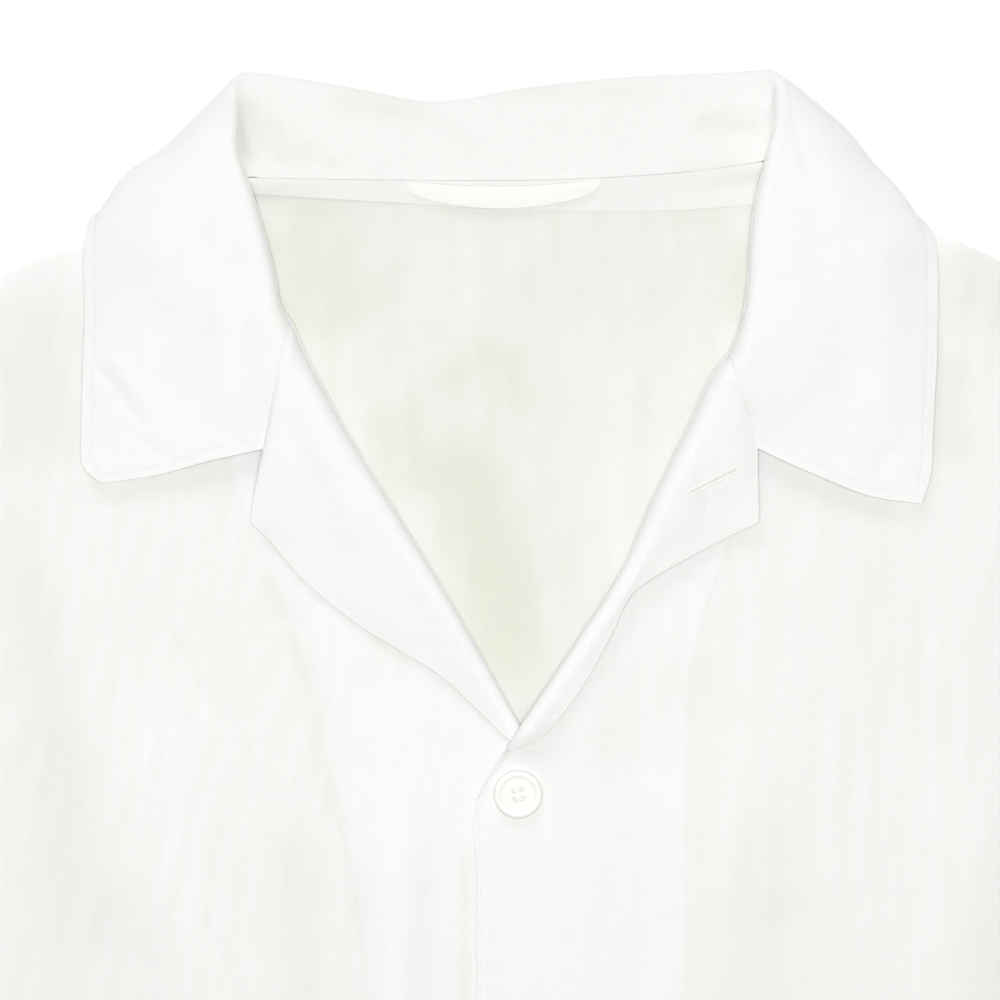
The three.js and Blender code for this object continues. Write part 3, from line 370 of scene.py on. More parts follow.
BACK_CREASES = np.array([
    (2, -54, -58, -86, 6, 0.5), (-30, -70, -12, -150, 7, -0.8), (4, -60, 16, -110, 7, -0.5),
    (-14, -136, 8, -200, 6, -0.7), (40, -50, 44, -170, 16, 1.1), (-22, -20, -20, -60, 15, 0.7),
    (-84, -14, -64, -64, 14, -0.5), (18, -100, 6, -160, 4, 0.6), (70, -34, 76, -90, 8, -0.5),
    (120, -240, 96, -420, 14, 1.2), (-130, -260, -110, -470, 16, 1.3),
    (20, -330, 34, -560, 14, 1.1), (-60, -420, -70, -640, 15, 1), (180, -430, 170, -640, 14, 1.1),
    (-200, -460, -188, -660, 13, 1.2), (90, -560, 100, -700, 10, 0.9),
], float)
STAND_CREASES = np.array([
    (66, 21, 101, 27, 1.8, -0.7), (68, 25, 98, 31, 2, 0.5), (-31, 29, -24, 6, 5, -0.7),
    (-20, 30, -12, 8, 5, 0.5), (20, 26, 34, 6, 5, -0.4), (-95, 33, -70, 5, 2.4, -0.6),
    (-92, 38, -66, 8, 2.4, 0.8),
    (-60, 24, -44, 4, 6, 0.5), (56, 20, 62, 4, 4, 0.4),
], float)
FALL_CREASES = np.array([
    (-103, 32, -104, 2, 1.6, -0.9), (-107, 6, -108, -96, 4.5, 0.8),
    (-98, -16, -100, -84, 4.5, -0.8),
    (-156, -68, -134, -96, 2.2, -0.6), (-152, -64, -130, -90, 2.6, 0.5),
    (-146, -92, -126, -106, 2, -0.4),
    (-124, 0, -140, -34, 5, 0.6), (-132, -40, -128, -90, 7, -0.5),
    (112, 20, 116, -60, 6, -0.8), (138, -10, 141, -104, 8, 0.9), (124, -20, 126, -100, 6, -0.6),
    (144, -98, 136, -112, 4, -0.8), (150, -60, 154, -100, 4, 0.4), (104, 26, 112, -2, 2, -0.5),
], float)
LAPEL_CREASES = np.array([
    (70, -106, 74, -128, 2.2, -0.6), (66, -118, 88, -112, 3, 0.4), (-84, -84, -70, -122, 5, -0.6),
    (-70, -92, -56, -140, 5, 0.6), (-46, -140, -30, -168, 4, -0.4),
    (56, -118, 40, -146, 3.5, 0.5),
], float)
# On a sleeve: from along, from across, to along, to across, width, height
SLEEVE_CREASES = np.array([
    (20, 30, 230, 44, 12, 1.6), (60, 70, 260, 84, 9, -1.2), (190, 40, 470, 62, 12, 1.4),
    (240, 96, 400, 104, 7, 1.2), (300, 20, 520, 34, 8, -1), (330, 78, 410, 60, 6, 1),
    (30, 112, 96, 84, 6, -1.2), (44, 128, 110, 104, 5, 1), (470, 50, 560, 80, 6, 0.8),
    (130, 16, 210, 30, 6, -0.7),
], float)


# ---------- the cloth's tone: painted shade and painted light, plies and streaks ---
# from x, from level, to x, to level, width, how much lighter (below 0, darker)
# On the fronts: painted shadows under the collar leaves and lapels, and painted shade and light on
# folds and shoulders; the line beside the placket edge is partly the single ply seen there and partly
# painted shadow.
FRONT_PAINTED_SHADING = np.array([
    (-184, -108, -178, -200, 9, -0.4), (-178, -180, -168, -330, 15, -0.42),
    (-168, -320, -176, -460, 17, -0.5),
    (-84, -232, -76, -330, 8, -0.65), (-140, -170, -112, -300, 9, 0.25),
    (-120, -150, -98, -206, 6, -0.25),
    (-16.5, -238, -17, -330, 2.8, -1.3), (-16, -280, -22, -400, 5, -0.4),
    (-46, -184, -47, -290, 10, 0.15),
    (74, -176, 76, -440, 9, -0.12), (94, -215, 100, -360, 17, -0.3),
    (76, -172, 26, -222, 15, -0.55), (134, -118, 140, -210, 10, -0.2),
    (170, -240, 176, -440, 10, -0.25), (-186, -36, -172, -116, 17, -0.72),
    (-84, -150, -62, -250, 5, -0.5), (-150, -106, -104, -112, 7, -0.3),
    (98, -112, 152, -126, 6, -0.45), (166, -22, 190, -60, 14, -0.55),
    (164, -60, 166, -112, 8, -0.85),
    (-90, -146, -84, -166, 4, -0.6), (-56, -170, -36, -184, 4, -0.6),
    (60, -140, 84, -128, 4, -0.5),
], float)
# On the back's inside: painted shade under the left roll, beside the right roll and along creases,
# and painted light on its lit parts.
BACK_PAINTED_SHADING = np.array([
    (-88, -8, -62, -64, 21, -0.55), (-46, -80, -33, -122, 12, -0.5), (-4, -56, 8, -92, 8, -0.35),
    (-5, -57, -27, -83, 8, -0.3), (-21, -86, 5, -200, 13, -0.95), (-22, -15, -22, -62, 14, 0.22),
    (34, -52, 36, -158, 9, 0.26), (-97, -8, -62, -13, 3.5, -0.3), (88, -18, 82, -60, 4.5, -0.4),
    (56, -13, 84, -13, 4, -0.25), (62, -60, 44, -120, 10, 0.12),
], float)
# Painted shade on the collar's stand, at its steep left corner and along its creases.
STAND_PAINTED_SHADING = np.array([
    (-99, 34, -98, 4, 6, -1.0), (-90, 25, -84, 5, 6, -0.9), (-80, 15, -74, 5, 5, -0.8),
    (-69, 8, -66, 4, 3, -0.6),
    (-72, 32, -28, 25, 5, -0.8), (66, 22, 98, 20, 3.5, -0.9), (60, 3, 88, 6, 3, -0.4),
    (-20, 33, 60, 34, 3, -0.5),
], float)
FRONT_BASE, BACK_BASE, TAPE_PLIES, LOOP_PLIES = 0.66, 0.58, 0.55, 0.6
# SEEN_THROUGH is the share of the painted shade and light that still shows over a facing.
DOUBLE, DOUBLE_RUN, SEEN_THROUGH = 0.97, 1.5, 0.6  # over a facing
STREAK_SLANT, STREAK_FADE, STREAK_LEFT = 0.09, 3.0, 0.5  # fades to a half over a facing
# The whole stand is made this much darker in tone.
STAND_DARKER = 0.3

# ---------- waviness: seed, size, height, along ----------
FRONT_WAVES = Waves(5, 30, 0.22, 0.35)
FALL_WAVES, STAND_WAVES = Waves(11, 30, 0.25), Waves(12, 26, 0.2)
BACK_WAVES, BACK_STREAKS = Waves(21, 40, 0.35), Waves(51, 13, 0.1, 0.3)
TAPE_WAVES = Waves(41, 14, 0.1)
SLEEVE_WAVES = {Side.RIGHT: Waves(30, 45, 0.5), Side.LEFT: Waves(32, 45, 0.5)}
FRONT_STREAKS = {Side.RIGHT: Waves(51, 9, 0.13, 0.16), Side.LEFT: Waves(53, 9, 0.13, 0.16)}

# ---------- how finely the fronts are cut ----------
ABOVE_ROWS, LAPEL_ROWS, UPPER_ROWS, LOWER_ROWS = 34, 96, 58, 78
UPPER_END = -315.0
BODY_STEPS, LAPEL_STEPS = (66, 34, 9), (9, 26)

# ---------- the back: how finely it is cut, and where its creases fade ----------
BACK_UPPER_END, BACK_ROWS, BACK_HALF_COLUMNS = -215.0, (96, 84), (48, 26)
SIDE_FADE, HEM_FADE, NECK_FADE, UNDER_TAPE = 20.0, 10.0, 12.0, 11.0
DEEPEST = 0.1

# ---------- the sleeves ----------
SLEEVE_COLUMNS, SLEEVE_ROWS = 49, 111
SLEEVE_SWELL, SWELLS_ACROSS, SWELLS_ALONG = 2.2, 9.0, 5.0
SLEEVE_ROUNDING = 6.0  # the sixth of its width at either edge is rounded

# ---------- the neck tape and the hanger loop ----------
TAPE_HIDDEN = 4.0  # runs on so far under the collar at its start
TAPE_NARROW, TAPE_WIDE = 5.5, 15.4
TAPE_OVER_SEAM, TAPE_OVER_BACK, TAPE_FALL = 0.09, 0.8, 9.0
TAPE_GRID, LOOP_GRID = (160, 19), (90, 17)
LOOP_DROP, LOOP_SAG = 0.3, 1.9
LOOP_END_WIDTH, LOOP_SWELL, LOOP_FULLNESS = 1.6, 6.6, 0.45
LOOP_OFF, LOOP_BULGE, LOOP_BULGE_FULLNESS, LOOP_LEAN, LOOP_ARCH = 1.0, 2.6, 0.6, 0.45, 0.25

# ---------- how a lapel turns ----------
ROLL_STEP = 4.0  # step of level that gives the roll's direction
LEAST_SLANT = 0.3
MOST_TURNED = 0.5  # share of a row that the roll takes up at most
LAPEL_FALL = 0.22  # steepest fall from the roll to the free edge
STRAIGHTNESS = 0.6
LAPEL_CREASE_FADE = 14.0
EDGE_CROWDING = 1.25  # above 1, columns lie closer by the free edge


# ---------- cloth surfaces ----------
@dataclass
class Grid:
    """Points of a surface on a grid of rows and columns, with what is known at each.

    grain holds the cloth's own flat coordinates there, edge the distance to the nearest free edge
    and the tone attribute how many layers of cloth lie together, with painted shade and painted light
    added in.
    """

    points: Array
    grain: Array
    edge: Array
    plies: Array

    def reversed(self) -> Grid:
        """The same grid with its rows in the opposite order, which turns it over."""
        return Grid(self.points[::-1], self.grain[::-1], self.edge[::-1], self.plies[::-1])


def run_along(points: Array, axis: int) -> Array:
    """Distance travelled from a grid's first row or column: its steps' lengths added up."""
    steps = np.linalg.norm(np.diff(points, axis=axis), axis=-1)
    start = np.zeros_like(np.take(steps, [0], axis=axis))
    return np.concatenate([start, np.cumsum(steps, axis=axis)], axis=axis)


def inset(grid: Array, distance: float) -> Array:
    """Points a distance in from a grid's last column, along its rows, straight between columns."""
    flipped = grid[:, ::-1]
    run = run_along(flipped[..., :3], 1)
    row = np.arange(len(grid))
    j = np.clip((run <= distance).sum(axis=1) - 1, 0, run.shape[1] - 2)
    t = (distance - run[row, j]) / np.maximum(run[row, j + 1] - run[row, j], TINY)
    return lerp(flipped[row, j], flipped[row, j + 1], t[:, None])


def with_normals(grid: Grid) -> Array:
    """A grid's points and unit normals side by side: the normals are crossed neighbour steps."""
    steps = (np.gradient(grid.points, axis=axis) for axis in (0, 1))
    return np.concatenate([grid.points, unit(np.cross(*steps))], axis=2)


@dataclass
class Mesh:
    """Points, triangles and each point's named values, ready to become an object."""

    points: Array
    faces: Array
    values: dict[str, Array] = field(default_factory=dict)


def all_joined(meshes: Sequence[Mesh]) -> Mesh:
    """Several meshes as one, without their named values."""
    starts = np.cumsum([0] + [len(mesh.points) for mesh in meshes[:-1]])
    return Mesh(
        np.concatenate([mesh.points for mesh in meshes]),
        np.concatenate([mesh.faces + start for mesh, start in zip(meshes, starts)]),
    )


class Cloth:
    """A welded cloth surface made from grids that share their common edges."""

    def __init__(self, grids: Sequence[Grid]):
        """Stacks the grids, cuts each cell into two triangles and welds points that coincide."""
        points = np.concatenate([g.points.reshape(-1, 3) for g in grids])
        faces, start = [], 0
        for g in grids:
            rows, columns = g.points.shape[:2]
            corner = start + np.arange(rows * columns).reshape(rows, columns)
            faces += cells(corner[:-1, :-1], corner[1:, :-1], corner[1:, 1:], corner[:-1, 1:])
            start += rows * columns
        _, first, back = np.unique(
            np.round(points, WELD_DIGITS), axis=0, return_index=True, return_inverse=True
        )
        joined = back.reshape(-1)[np.concatenate(faces)]
        a, b, c = joined.T
        self.faces = joined[(a != b) & (b != c) & (c != a)]
        self.points = points[first]
        self.grain = np.concatenate([g.grain.reshape(-1, 2) for g in grids])[first]
        self.edge = np.concatenate([g.edge.reshape(-1) for g in grids])[first]
        self.plies = np.concatenate([g.plies.reshape(-1) for g in grids])[first]

    def normals(self) -> Array:
        """Each point's unit normal: the sum of its faces' cross products, made one long."""
        a, b, c = (self.points[self.faces[:, k]] for k in range(3))
        cross = np.cross(b - a, c - a)
        total = np.stack([
            sum(np.bincount(self.faces[:, k], cross[:, axis], len(self.points)) for k in range(3))
            for axis in range(3)
        ], -1)
        return unit(total)

    def shell(self, low: float, high: float) -> Mesh:
        """The closed wall between two distances from the surface.

        Args:
            low, high: the distances, in the sense of the normals.

        Returns:
            The wall with its two faces and a rim along every open edge.
        """
        n = self.normals()
        points = np.concatenate([self.points + n * low, self.points + n * high])
        count = len(self.points)
        f = self.faces
        sides = np.concatenate([f[:, [0, 1]], f[:, [1, 2]], f[:, [2, 0]]])
        key = np.sort(sides, axis=1) @ np.array([count, 1])
        _, where, uses = np.unique(key, return_index=True, return_counts=True)
        p, q = sides[where[uses == 1]].T
        rim = [np.stack([p, q, q + count], -1), np.stack([p, q + count, p + count], -1)]
        faces = np.concatenate([f + count, f[:, ::-1], *rim])
        twice = {
            "grain": np.concatenate([self.grain, self.grain]) * MM,
            "edge": np.tile(self.edge, 2) * MM,
            "plies": np.tile(self.plies, 2),
        }
        return Mesh(points * MM, faces, twice)


def make_object(name: str, mesh: Mesh, finish: bpy.types.Material) -> Any:
    """Puts arrays into a new, smooth mesh object that sits at the origin.

    Args:
        name: the object's name.
        mesh: points in metres, triangles and each point's values.
        finish: the material.

    Returns:
        The object.
    """
    data = bpy.data.meshes.new(name)
    data.vertices.add(len(mesh.points))
    data.vertices.foreach_set("co", mesh.points.astype(np.float32).ravel())
    data.loops.add(mesh.faces.size)
    data.loops.foreach_set("vertex_index", mesh.faces.astype(np.int32).ravel())
    data.polygons.add(len(mesh.faces))
    data.polygons.foreach_set("loop_start", np.arange(0, mesh.faces.size, 3, dtype=np.int32))
    data.polygons.foreach_set("use_smooth", np.full(len(mesh.faces), True))
    data.update(calc_edges=True)
    data.validate()
    data.set_sharp_from_angle(angle=SHARP)
    for key, values in mesh.values.items():
        if values.ndim == 2:
            flat = np.zeros((len(values), 3), np.float32)
            flat[:, : values.shape[1]] = values
            held = data.attributes.new(key, "FLOAT_VECTOR", "POINT")
            held.data.foreach_set("vector", flat.ravel())
        else:
            held = data.attributes.new(key, "FLOAT", "POINT")
            held.data.foreach_set("value", values.astype(np.float32))
    data.materials.append(finish)
    made = bpy.data.objects.new(name, data)
    bpy.context.scene.collection.objects.link(made)
    return made


# ---------- shader building ----------
class Sock:
    """A node's output or a plain number that Python's operators work on."""

    def __init__(self, shader: Shader, value: Any):
        """Keeps the shader that new Math nodes go into."""
        self.shader, self.value = shader, value

    def math(self, operation: str, *others: Any) -> Sock:
        """One Math node of that operation, with this value first."""
        values = {i: v for i, v in enumerate([self, *others])}
        return self.shader.add("ShaderNodeMath", {"operation": operation}, values)

    def __add__(self, other: Any) -> Sock:
        """This plus other."""
        return self.math("ADD", other)

    __radd__ = __add__

    def __mul__(self, other: Any) -> Sock:
        """This times other."""
        return self.math("MULTIPLY", other)

    def __sub__(self, other: Any) -> Sock:
        """This less other."""
        return self.math("SUBTRACT", other)

    def __truediv__(self, other: Any) -> Sock:
        """This over other."""
        return self.math("DIVIDE", other)

    def __rtruediv__(self, other: Any) -> Sock:
        """Other over this."""
        return self.shader.number(other).math("DIVIDE", self)

    def bell(self, centre: float, width: float) -> Sock:
        """1 at the centre, falling as 1 over 1 plus the distance over width, to the fourth."""
        away = (self - centre) / width
        return 1 / (1 + away * away * away * away)

    def step(self, low: float, high: float) -> Sock:
        """A smooth step from 0 at low to 1 at high."""
        settings = {"interpolation_type": "SMOOTHSTEP"}
        inputs = {0: self, 1: low, 2: high, 3: 0.0, 4: 1.0}
        return self.shader.add("ShaderNodeMapRange", settings, inputs)


class Shader:
    """A material and the one way in which nodes are added to it."""

    def __init__(self, name: str):
        """A new material with a bare Principled shader."""
        self.material = bpy.data.materials.new(name)
        self.material.use_nodes = True
        self.tree = self.material.node_tree
        self.principled = self.tree.nodes["Principled BSDF"]

    def number(self, value: Any) -> Sock:
        """A plain number as something that operators work on."""
        return value if isinstance(value, Sock) else Sock(self, value)

    def set(self, node: Any, inputs: dict[Any, Any]) -> None:
        """Sets a node's inputs, by name or place, to values or links."""
        for key, value in inputs.items():
            held = value.value if isinstance(value, Sock) else value
            if isinstance(held, bpy.types.NodeSocket):
                self.tree.links.new(held, node.inputs[key])
            else:
                node.inputs[key].default_value = held

    def add(self, kind: str, settings: dict[str, Any], inputs: dict[Any, Any],
            out: Any = 0) -> Sock:
        """Adds a node.

        Args:
            kind: its type.
            settings: its properties, set before its inputs.
            inputs: values or links of its inputs.
            out: name or place of the output wanted.

        Returns:
            The output.
        """
        node = self.tree.nodes.new(kind)
        for key, value in settings.items():
            setattr(node, key, value)
        self.set(node, inputs)
        return Sock(self, node.outputs[out])

    def blend(self, share: Sock, a: Sequence[float], b: Sequence[float]) -> Sock:
        """The colour between a and b at a share."""
        colours = {"Factor": share, 6: (*a, 1.0), 7: (*b, 1.0)}
        return self.add("ShaderNodeMix", {"data_type": "RGBA"}, colours, 2)

    def noise(self, where: Sock, scale: float, detail: float = 2.0) -> Sock:
        """Noise from 0 to 1 at that scale per metre."""
        inputs = {"Vector": where, "Scale": scale, "Detail": detail, "Roughness": 0.6}
        return self.add("ShaderNodeTexNoise", {}, inputs)

    def stretched(self, where: Sock, size: tuple[float, float, float]) -> Sock:
        """Coordinates stretched so that a pattern is that much finer on each axis."""
        inputs = {"Vector": where, "Scale": size}
        return self.add("ShaderNodeMapping", {"vector_type": "TEXTURE"}, inputs)


@dataclass(frozen=True)
class Linen:
    """Sheer plain-weave linen: fine slubbed threads both ways, whiter where it lies double; its tone
    also carries painted shade and painted light.
    """

    name: str
    single: tuple[float, float, float]
    double: tuple[float, float, float]
    stitch_line: float = 0.0  # distance of a topstitched line from the free edge, in metres
    warp: tuple[float, float, float] = (0.0007, 0.016, 1)  # size of a slub, in metres
    weft: tuple[float, float, float] = (0.018, 0.0007, 1)
    cloud: tuple[float, float, float] = (0.008, 0.03, 1)
    weave_height: float = 0.00006
    groove_height: float = 0.0001
    groove_width: float = 0.0006

    def material(self) -> bpy.types.Material:
        """The cloth's material, on the piece's own grain coordinates."""
        s = Shader(self.name)
        grain = s.add("ShaderNodeAttribute", {"attribute_name": "grain"}, {}, "Vector")
        edge = s.add("ShaderNodeAttribute", {"attribute_name": "edge"}, {}, "Fac")
        plies = s.add("ShaderNodeAttribute", {"attribute_name": "plies"}, {}, "Fac")
        warp = s.noise(s.stretched(grain, self.warp), 1.0, detail=1.5)
        weft = s.noise(s.stretched(grain, self.weft), 1.0, detail=1.5)
        cloudy = s.noise(s.stretched(grain, self.cloud), 1.0, detail=3.0)
        threads = warp + weft
        cover = (threads - 0.7) * 0.9 + (cloudy - 0.5) * 0.8
        # The tone attribute holds the plies with painted shade and painted light in it.
        tone = plies * 0.72 + cover * 0.28
        height = threads * self.weave_height
        if self.stitch_line:
            pucker = s.noise(grain, 240.0, detail=1.0)
            groove = edge.bell(self.stitch_line, self.groove_width) * (0.5 + pucker)
            height = height - groove * self.groove_height
        bump = s.add("ShaderNodeBump", {}, {"Strength": 1.0, "Distance": 1.0, "Height": height})
        s.set(s.principled, {
            "Base Color": s.blend(tone, self.single, self.double),
            "Roughness": 0.93, "Normal": bump, "Specular IOR Level": 0.18,
            "Sheen Weight": 1.0, "Sheen Roughness": 0.3, "Subsurface Weight": 0.4,
            "Subsurface Radius": (1.0, 1.0, 0.9), "Subsurface Scale": 0.0015,
        })
        return s.material


@dataclass(frozen=True)
class Plain:
    """A smooth, even finish with a little mottling: thread, nacre or the floor."""

    name: str
    light: tuple[float, float, float]
    dark: tuple[float, float, float]
    roughness: float
    scale: float
    glow: float = 0.0
    coat: float = 0.0
    milky: float = 0.0

    def material(self) -> bpy.types.Material:
        """The finish, mottled by noise on Object coordinates."""
        s = Shader(self.name)
        where = s.add("ShaderNodeTexCoord", {}, {}, "Object")
        mottle = s.noise(where, self.scale, detail=3.0)
        s.set(s.principled, {
            "Base Color": s.blend(mottle.step(0.3, 0.7), self.dark, self.light),
            "Roughness": self.roughness, "Coat Weight": self.coat, "Coat Roughness": 0.15,
            "Subsurface Weight": self.milky, "Subsurface Radius": (1.0, 1.0, 0.9),
            "Subsurface Scale": 0.001,
        })
        if self.glow:
            s.set(s.principled, {"Emission Color": (1, 1, 1, 1), "Emission Strength": self.glow})
        return s.material


# ---------- forms ----------
def back_height(x: Array, level: Array) -> Array:
    """The back's height: flat, and a step up over the collar that is tucked under its neck."""
    upwards = ease((level - NECK_STEP_FROM) / NECK_STEP_RUN)
    return BACK_Z + NECK_STEP * upwards * ease((NECK_STEP_SIDE - np.abs(x)) / NECK_STEP_FADE)


def overlap_lift(x: Array, level: Array) -> Array:
    """How much higher the left front lies where it crosses the right one."""
    away = np.hypot(x - CROSSING_X, level - CROSSING_LEVEL) / CROSSING_REACH
    across = ease((OVERLAP_FROM - x) / (OVERLAP_FROM - OVERLAP_TO))
    return OVERLAP_LIFT * across + CROSSING_LIFT * np.exp(-(away**2))


@dataclass
class FrontForm:
    """A front with its rolled lapel, as heights over x and level and rows across it."""

    side: Side
    rows: Table
    lapel: Table
    facing: Table
    held_creases: float = 0.35  # share of the fine creases that is left on the flat placket
    facing_share: float = 0.8  # the roll reaches over so much of the facing at most
    crowding: float = 1.1  # above 1, columns lie closer by the facing
    facing_step: float = 2.4  # length of the step up over the facing

    def __post_init__(self) -> None:
        """Reads the levels at which the rows' kinds change."""
        self.sign = self.side.value
        self.top = float(self.rows.keys[-1])
        self.kink = float(self.lapel.keys[-1])
        self.break_level = float(self.lapel.keys[0])

    def height(self, x: Array, level: Array, from_side: Any = EDGE_REACH,
               from_shoulder: Any = EDGE_REACH) -> Array:
        """Height of the flat part: a quarter round up from side and shoulder, plus its folds."""
        by_side, by_shoulder = (
            lerp(low, FRONT_Z, quarter_round(np.asarray(away) / EDGE_REACH))
            for low, away in ((SIDE_Z, from_side), (SHOULDER_Z, from_shoulder))
        )
        free = ease((np.abs(x - CENTRE_FRONT) - PLACKET_FLAT) / PLACKET_FADE)
        inward = ease(np.minimum(from_side, from_shoulder) / EDGE_REACH)
        folds = ridges(FRONT_FOLDS, x, level) * free * inward
        fine = (ridges(FRONT_CREASES, x, level) + FRONT_WAVES(x, level)) * inward
        fine = fine * lerp(self.held_creases, 1, free)
        lift = overlap_lift(x, level) if self.side is Side.LEFT else 0
        above = np.minimum(by_side, by_shoulder) + folds + fine
        return above + back_height(x, level) - BACK_Z + lift

    def outer_level(self, level: Array) -> Array:
        """Level of the side end of the row that meets the inner edge at a level."""
        drop = self.top - SHOULDER_LEVEL
        return level - drop * ease((level - ROW_LEVEL_OUT) / (self.top - ROW_LEVEL_OUT))

    def body(self, levels: Array, columns: tuple[int, int, int]) -> Grid:
        """Rows from the side to the inner edge, over the body, the facing and the curl.

        Args:
            levels: of the rows, on the inner edge.
            columns: how many steps the three parts have.

        Returns:
            The grid.
        """
        level = levels[:, None]
        outer_level = self.outer_level(level)
        outer_x = self.sign * SIDE("x", outer_level)
        inner_x = self.rows("inner", level)
        width = np.hypot(outer_x - inner_x, outer_level - level)
        facing = np.clip((self.facing("x", level) - inner_x) / (outer_x - inner_x), 0, 1) * width
        reach = np.minimum(self.rows("reach", level), facing * self.facing_share)
        t_body, t_facing, t_curl = (np.linspace(0, 1, n + 1)[None] for n in columns)
        d = np.concatenate([
            lerp(width, facing, t_body[:, :-1] ** self.crowding),
            lerp(facing, reach, t_facing[:, :-1]),
            reach * (1 - np.sin(t_curl * math.pi / 2)),
        ], axis=1)
        x = lerp(inner_x, outer_x, d / width)
        at_level = lerp(level, outer_level, d / width)
        z = self.height(x, at_level, SLANT * (width - d), SLANT * (self.top - level) + 0 * d)
        z = z + self.rows("rise", level) * (1 - quarter_round(d / self.rows("reach", level)))
        z = z + FACED * ease((facing - d + self.facing_step / 2) / self.facing_step)
        edge = np.where(level < self.break_level, d, FAR)
        edge = np.minimum(edge, (at_level + BODY_LENGTH) + 0 * d)
        plies = self.body_plies(x, at_level, facing - d)
        return Grid(place(x, at_level, z), np.stack([x, at_level], -1), edge, plies)

    def body_plies(self, x: Array, level: Array, inside: Array) -> Array:
        """The cloth's tone at lengths inside the facing's edge: twice over the facing, with painted
        shade and painted light.
        """
        # Painted shade and painted light from the table; over the facing a share of them still shows.
        painted_shading = ridges(FRONT_PAINTED_SHADING, x, level)
        single_and_shade = FRONT_BASE + painted_shading
        double = DOUBLE * ease(inside / DOUBLE_RUN + 0.5) + SEEN_THROUGH * (single_and_shade - FRONT_BASE)
        streaks = FRONT_STREAKS[self.side](x - STREAK_SLANT * (1 - self.sign) * level, level)
        streaks = streaks * lerp(1, STREAK_LEFT, ease(inside / STREAK_FADE))
        return np.maximum(single_and_shade, double) + streaks

    def lapel_rows(self, level: Array) -> tuple[Array, ...]:
        """What the lapel's rows that begin at levels of the roll are made from.

        The roll's reach is measured square to it, so along a slanting row it is over the sine of
        the angle between them.

        Args:
            level: of the rows, on the roll.

        Returns:
            Inner x, rise of the roll, x and level of the free edge, the row's width and the roll's
            reach along it.
        """
        inner, rise = self.rows("inner", level), self.rows("rise", level)
        edge_x, edge_level = self.lapel("edge_x", level), self.lapel("edge_level", level)
        width = np.hypot(edge_x - inner, edge_level - level)
        roll_x = inner - self.rows("inner", level - ROLL_STEP)
        cross = np.abs(roll_x * (edge_level - level) - ROLL_STEP * (edge_x - inner))
        slant = cross / (np.hypot(roll_x, ROLL_STEP) * np.maximum(width, SMALL))
        reach = self.rows("reach", level) / np.maximum(slant, LEAST_SLANT)
        return inner, rise, edge_x, edge_level, width, reach

    def lapel_grid(self, levels: Array, columns: tuple[int, int]) -> Grid:
        """Rows of the lapel, from the roll to the free edge.

        Args:
            levels: of the rows, on the roll.
            columns: how many steps the turn of the roll and the rest have.

        Returns:
            The grid.
        """
        level = levels[:, None]
        inner, rise, edge_x, edge_level, width, reach = self.lapel_rows(level)
        turned = np.minimum(MOST_TURNED, reach / np.maximum(width, SMALL))
        curl, rest = (np.linspace(0, 1, n + 1)[None] for n in columns)
        share = np.concatenate([
            turned * (1 - np.cos(curl * math.pi / 2)),
            lerp(turned, 1, 1 - (1 - rest[:, 1:]) ** EDGE_CROWDING),
        ], axis=1)
        out = share * width
        x, at_level = lerp(inner, edge_x, share), lerp(level, edge_level, share)
        past = np.clip((out - reach) / np.maximum(width - reach, SMALL), 0, 1)
        settle = np.where(width > reach, lerp(ease(past), past, STRAIGHTNESS), 0)
        held_up = 2 * rise - LAPEL_FALL * np.maximum(width - reach, 0)
        lift = np.maximum(self.lapel("lift", level), held_up)
        over = lerp(rise * (1 + quarter_round(out / reach)), np.minimum(lift, 2 * rise), settle)
        fine = ridges(LAPEL_CREASES, x, at_level) * ease(out / LAPEL_CREASE_FADE)
        points = place(x, at_level, self.height(x, at_level) + over + fine + FACED)
        edge = width - out
        grain = np.stack([inner - self.sign * out, at_level + 0 * out], -1)
        return Grid(points, grain, edge, np.ones_like(edge))

    def grids(self) -> tuple[Grid, Grid]:
        """The body's grid and the lapel's, which meet exactly along the roll."""
        above = np.linspace(self.top, self.kink, ABOVE_ROWS)
        lapel = np.linspace(self.kink, self.break_level, LAPEL_ROWS)
        upper = np.linspace(self.break_level, UPPER_END, UPPER_ROWS)
        lower = np.linspace(UPPER_END, -BODY_LENGTH, LOWER_ROWS)
        levels = np.concatenate([above, lapel[1:], upper[1:], lower[1:]])
        body = self.body(levels, BODY_STEPS)
        turned = self.lapel_grid(lapel, LAPEL_STEPS)
        roll = body.points[ABOVE_ROWS - 1 :, -1][:LAPEL_ROWS]
        turned.points[:, 0] = roll
        turned.points[-1, :] = roll[-1]
        return body, turned

    def oriented(self, grid: Grid) -> Grid:
        """The grid turned so that its normals point to the face that the wearer feels."""
        return grid if self.side is Side.LEFT else grid.reversed()

    def front_cloth(self) -> Cloth:
        """The front's surface, body and lapel."""
        return Cloth([self.oriented(g) for g in self.grids()])

    def facing_cloth(self) -> Cloth:
        """The facing's surface, from its own inner edge to the lapel's free edge."""
        body, turned = self.grids()
        own = slice(BODY_STEPS[0], None)
        inside = Grid(*(part[:, own] for part in (body.points, body.grain, body.edge, body.plies)))
        return Cloth([self.oriented(inside), self.oriented(turned)])

    def gorge(self, share: Array) -> tuple[Array, Array]:
        """Points of the lapel's top edge, and the angle by which the roll has turned at each.

        Args:
            share: of the edge's length, 0 on the roll and 1 at the notch.

        Returns:
            The points and the angles.
        """
        level = np.array([self.kink])
        inner, rise, edge_x, edge_level, width, reach = self.lapel_rows(level)
        out = share * width
        x, at_level = lerp(inner, edge_x, share), lerp(level, edge_level, share)
        settle = ease((out - reach) / (width - reach))
        top = np.minimum(self.lapel("lift", level), 2 * rise)
        over = lerp(rise * (1 + quarter_round(out / reach)), top, settle)
        turned = np.arccos(1 - np.clip(out / reach, 0, 1))
        return place(x, at_level, self.height(x, at_level) + over + FACED), turned


